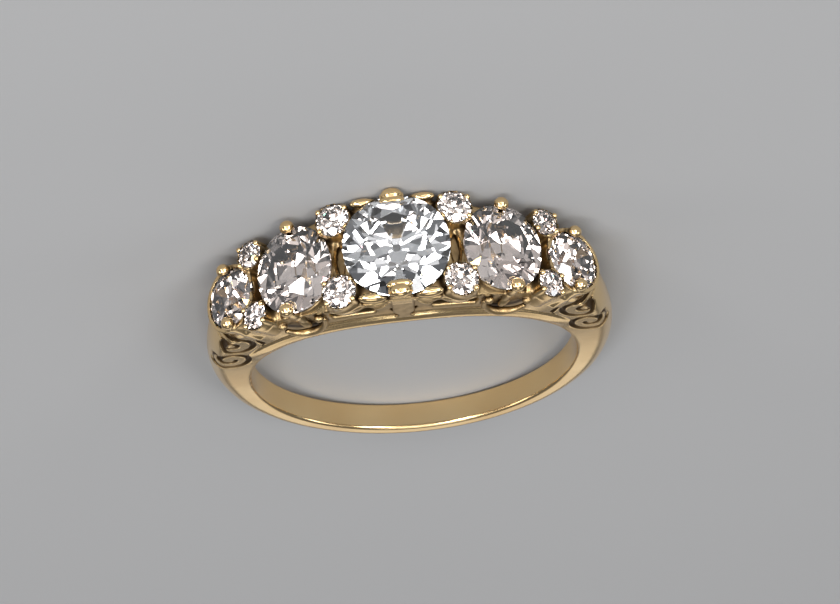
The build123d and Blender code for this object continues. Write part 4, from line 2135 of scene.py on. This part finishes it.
@dataclass(frozen=True)
class Viewpoint:
    """Camera at the photograph's angle to the ring.

    Attributes:
        elevation: Angle of the view above the plane of the stones' girdles, from the finger axis side.
        yaw: Turn of the view round the finger axis.
        roll: Turn of the image.
        scale: Pixels in each millimetre at the middle of the finger hole.
        column: Pixel column of the middle of the finger hole.
        line: Pixel line of the middle of the finger hole.
        distance: Distance of the camera in millimetres.
        sensor: Width of the camera's sensor in millimetres.
        clip: Least and greatest distance that the camera sees, in metres.
    """

    laid: LaidDown
    elevation: float = 66.07
    yaw: float = 3.02
    roll: float = -9.03
    scale: float = 19.224
    column: float = 412.9
    line: float = 350.1
    distance: float = 300.0
    sensor: float = 36.0
    clip: tuple = (0.01, 10.0)

    def build(self) -> None:
        """Makes the camera: its back, right and up directions come from the three angles."""
        rise, yaw, roll = (math.radians(a) for a in (self.elevation, self.yaw, self.roll))
        back = np.array([-math.sin(yaw) * math.cos(rise), -math.sin(rise), math.cos(yaw) * math.cos(rise)])
        right = np.array([-math.cos(yaw), 0, -math.sin(yaw)])
        up = np.cross(back, right)
        turned_right = math.cos(roll) * right + math.sin(roll) * up
        turned_up = -math.sin(roll) * right + math.cos(roll) * up
        back, turned_right, turned_up = (self.laid.directions(v) for v in (back, turned_right, turned_up))
        location = self.laid.centre + back * self.distance * MM
        beside = (IMAGE_WIDTH / 2 - self.column) / self.scale * MM
        above = (self.line - IMAGE_HEIGHT / 2) / self.scale * MM
        aim = self.laid.centre + turned_right * beside + turned_up * above
        forward = aim - location
        axis_z = -forward / np.linalg.norm(forward)
        axis_x = turned_right - axis_z * (turned_right @ axis_z)
        axis_x /= np.linalg.norm(axis_x)
        axis_y = np.cross(axis_z, axis_x)
        data = bpy.data.cameras.new("photo_camera")
        data.sensor_width = self.sensor
        data.lens = self.scale * self.distance / IMAGE_WIDTH * self.sensor
        data.clip_start, data.clip_end = self.clip
        camera = linked("photo_camera", data)
        columns = np.column_stack([axis_x, axis_y, axis_z])
        camera.matrix_world = Matrix.Translation(Vector(location)) @ Matrix(columns.tolist()).to_4x4()
        bpy.context.scene.camera = camera


def main() -> None:
    """Builds the ring, the floor, the light and the camera in order."""
    logging.basicConfig(level=logging.INFO, format="%(name)s %(message)s")
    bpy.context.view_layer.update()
    bpy.context.scene.view_settings.view_transform = "Standard"
    sizes = RingSizes()
    laid = LaidDown(sizes)
    mount = GoldMount(GoldBody(sizes), laid, OldGold().material())
    mount.dress(mount.mesh())
    white = CutDiamond("white_diamond", (0.97, 0.985, 1.0), (0.93, 0.965, 1.0))
    warm = CutDiamond("warm_diamond", (1.0, 0.91, 0.86), (0.96, 0.81, 0.74))
    small = CutDiamond("small_diamond", (1.0, 0.90, 0.84), (0.94, 0.79, 0.71))
    Stones(warm.material(), white.material(), small.material()).dress(frame["nodes"])
    Studio().build(Vector(laid.centre))
    Viewpoint(laid).build()
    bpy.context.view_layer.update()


if __name__ == "__main__":
    main()
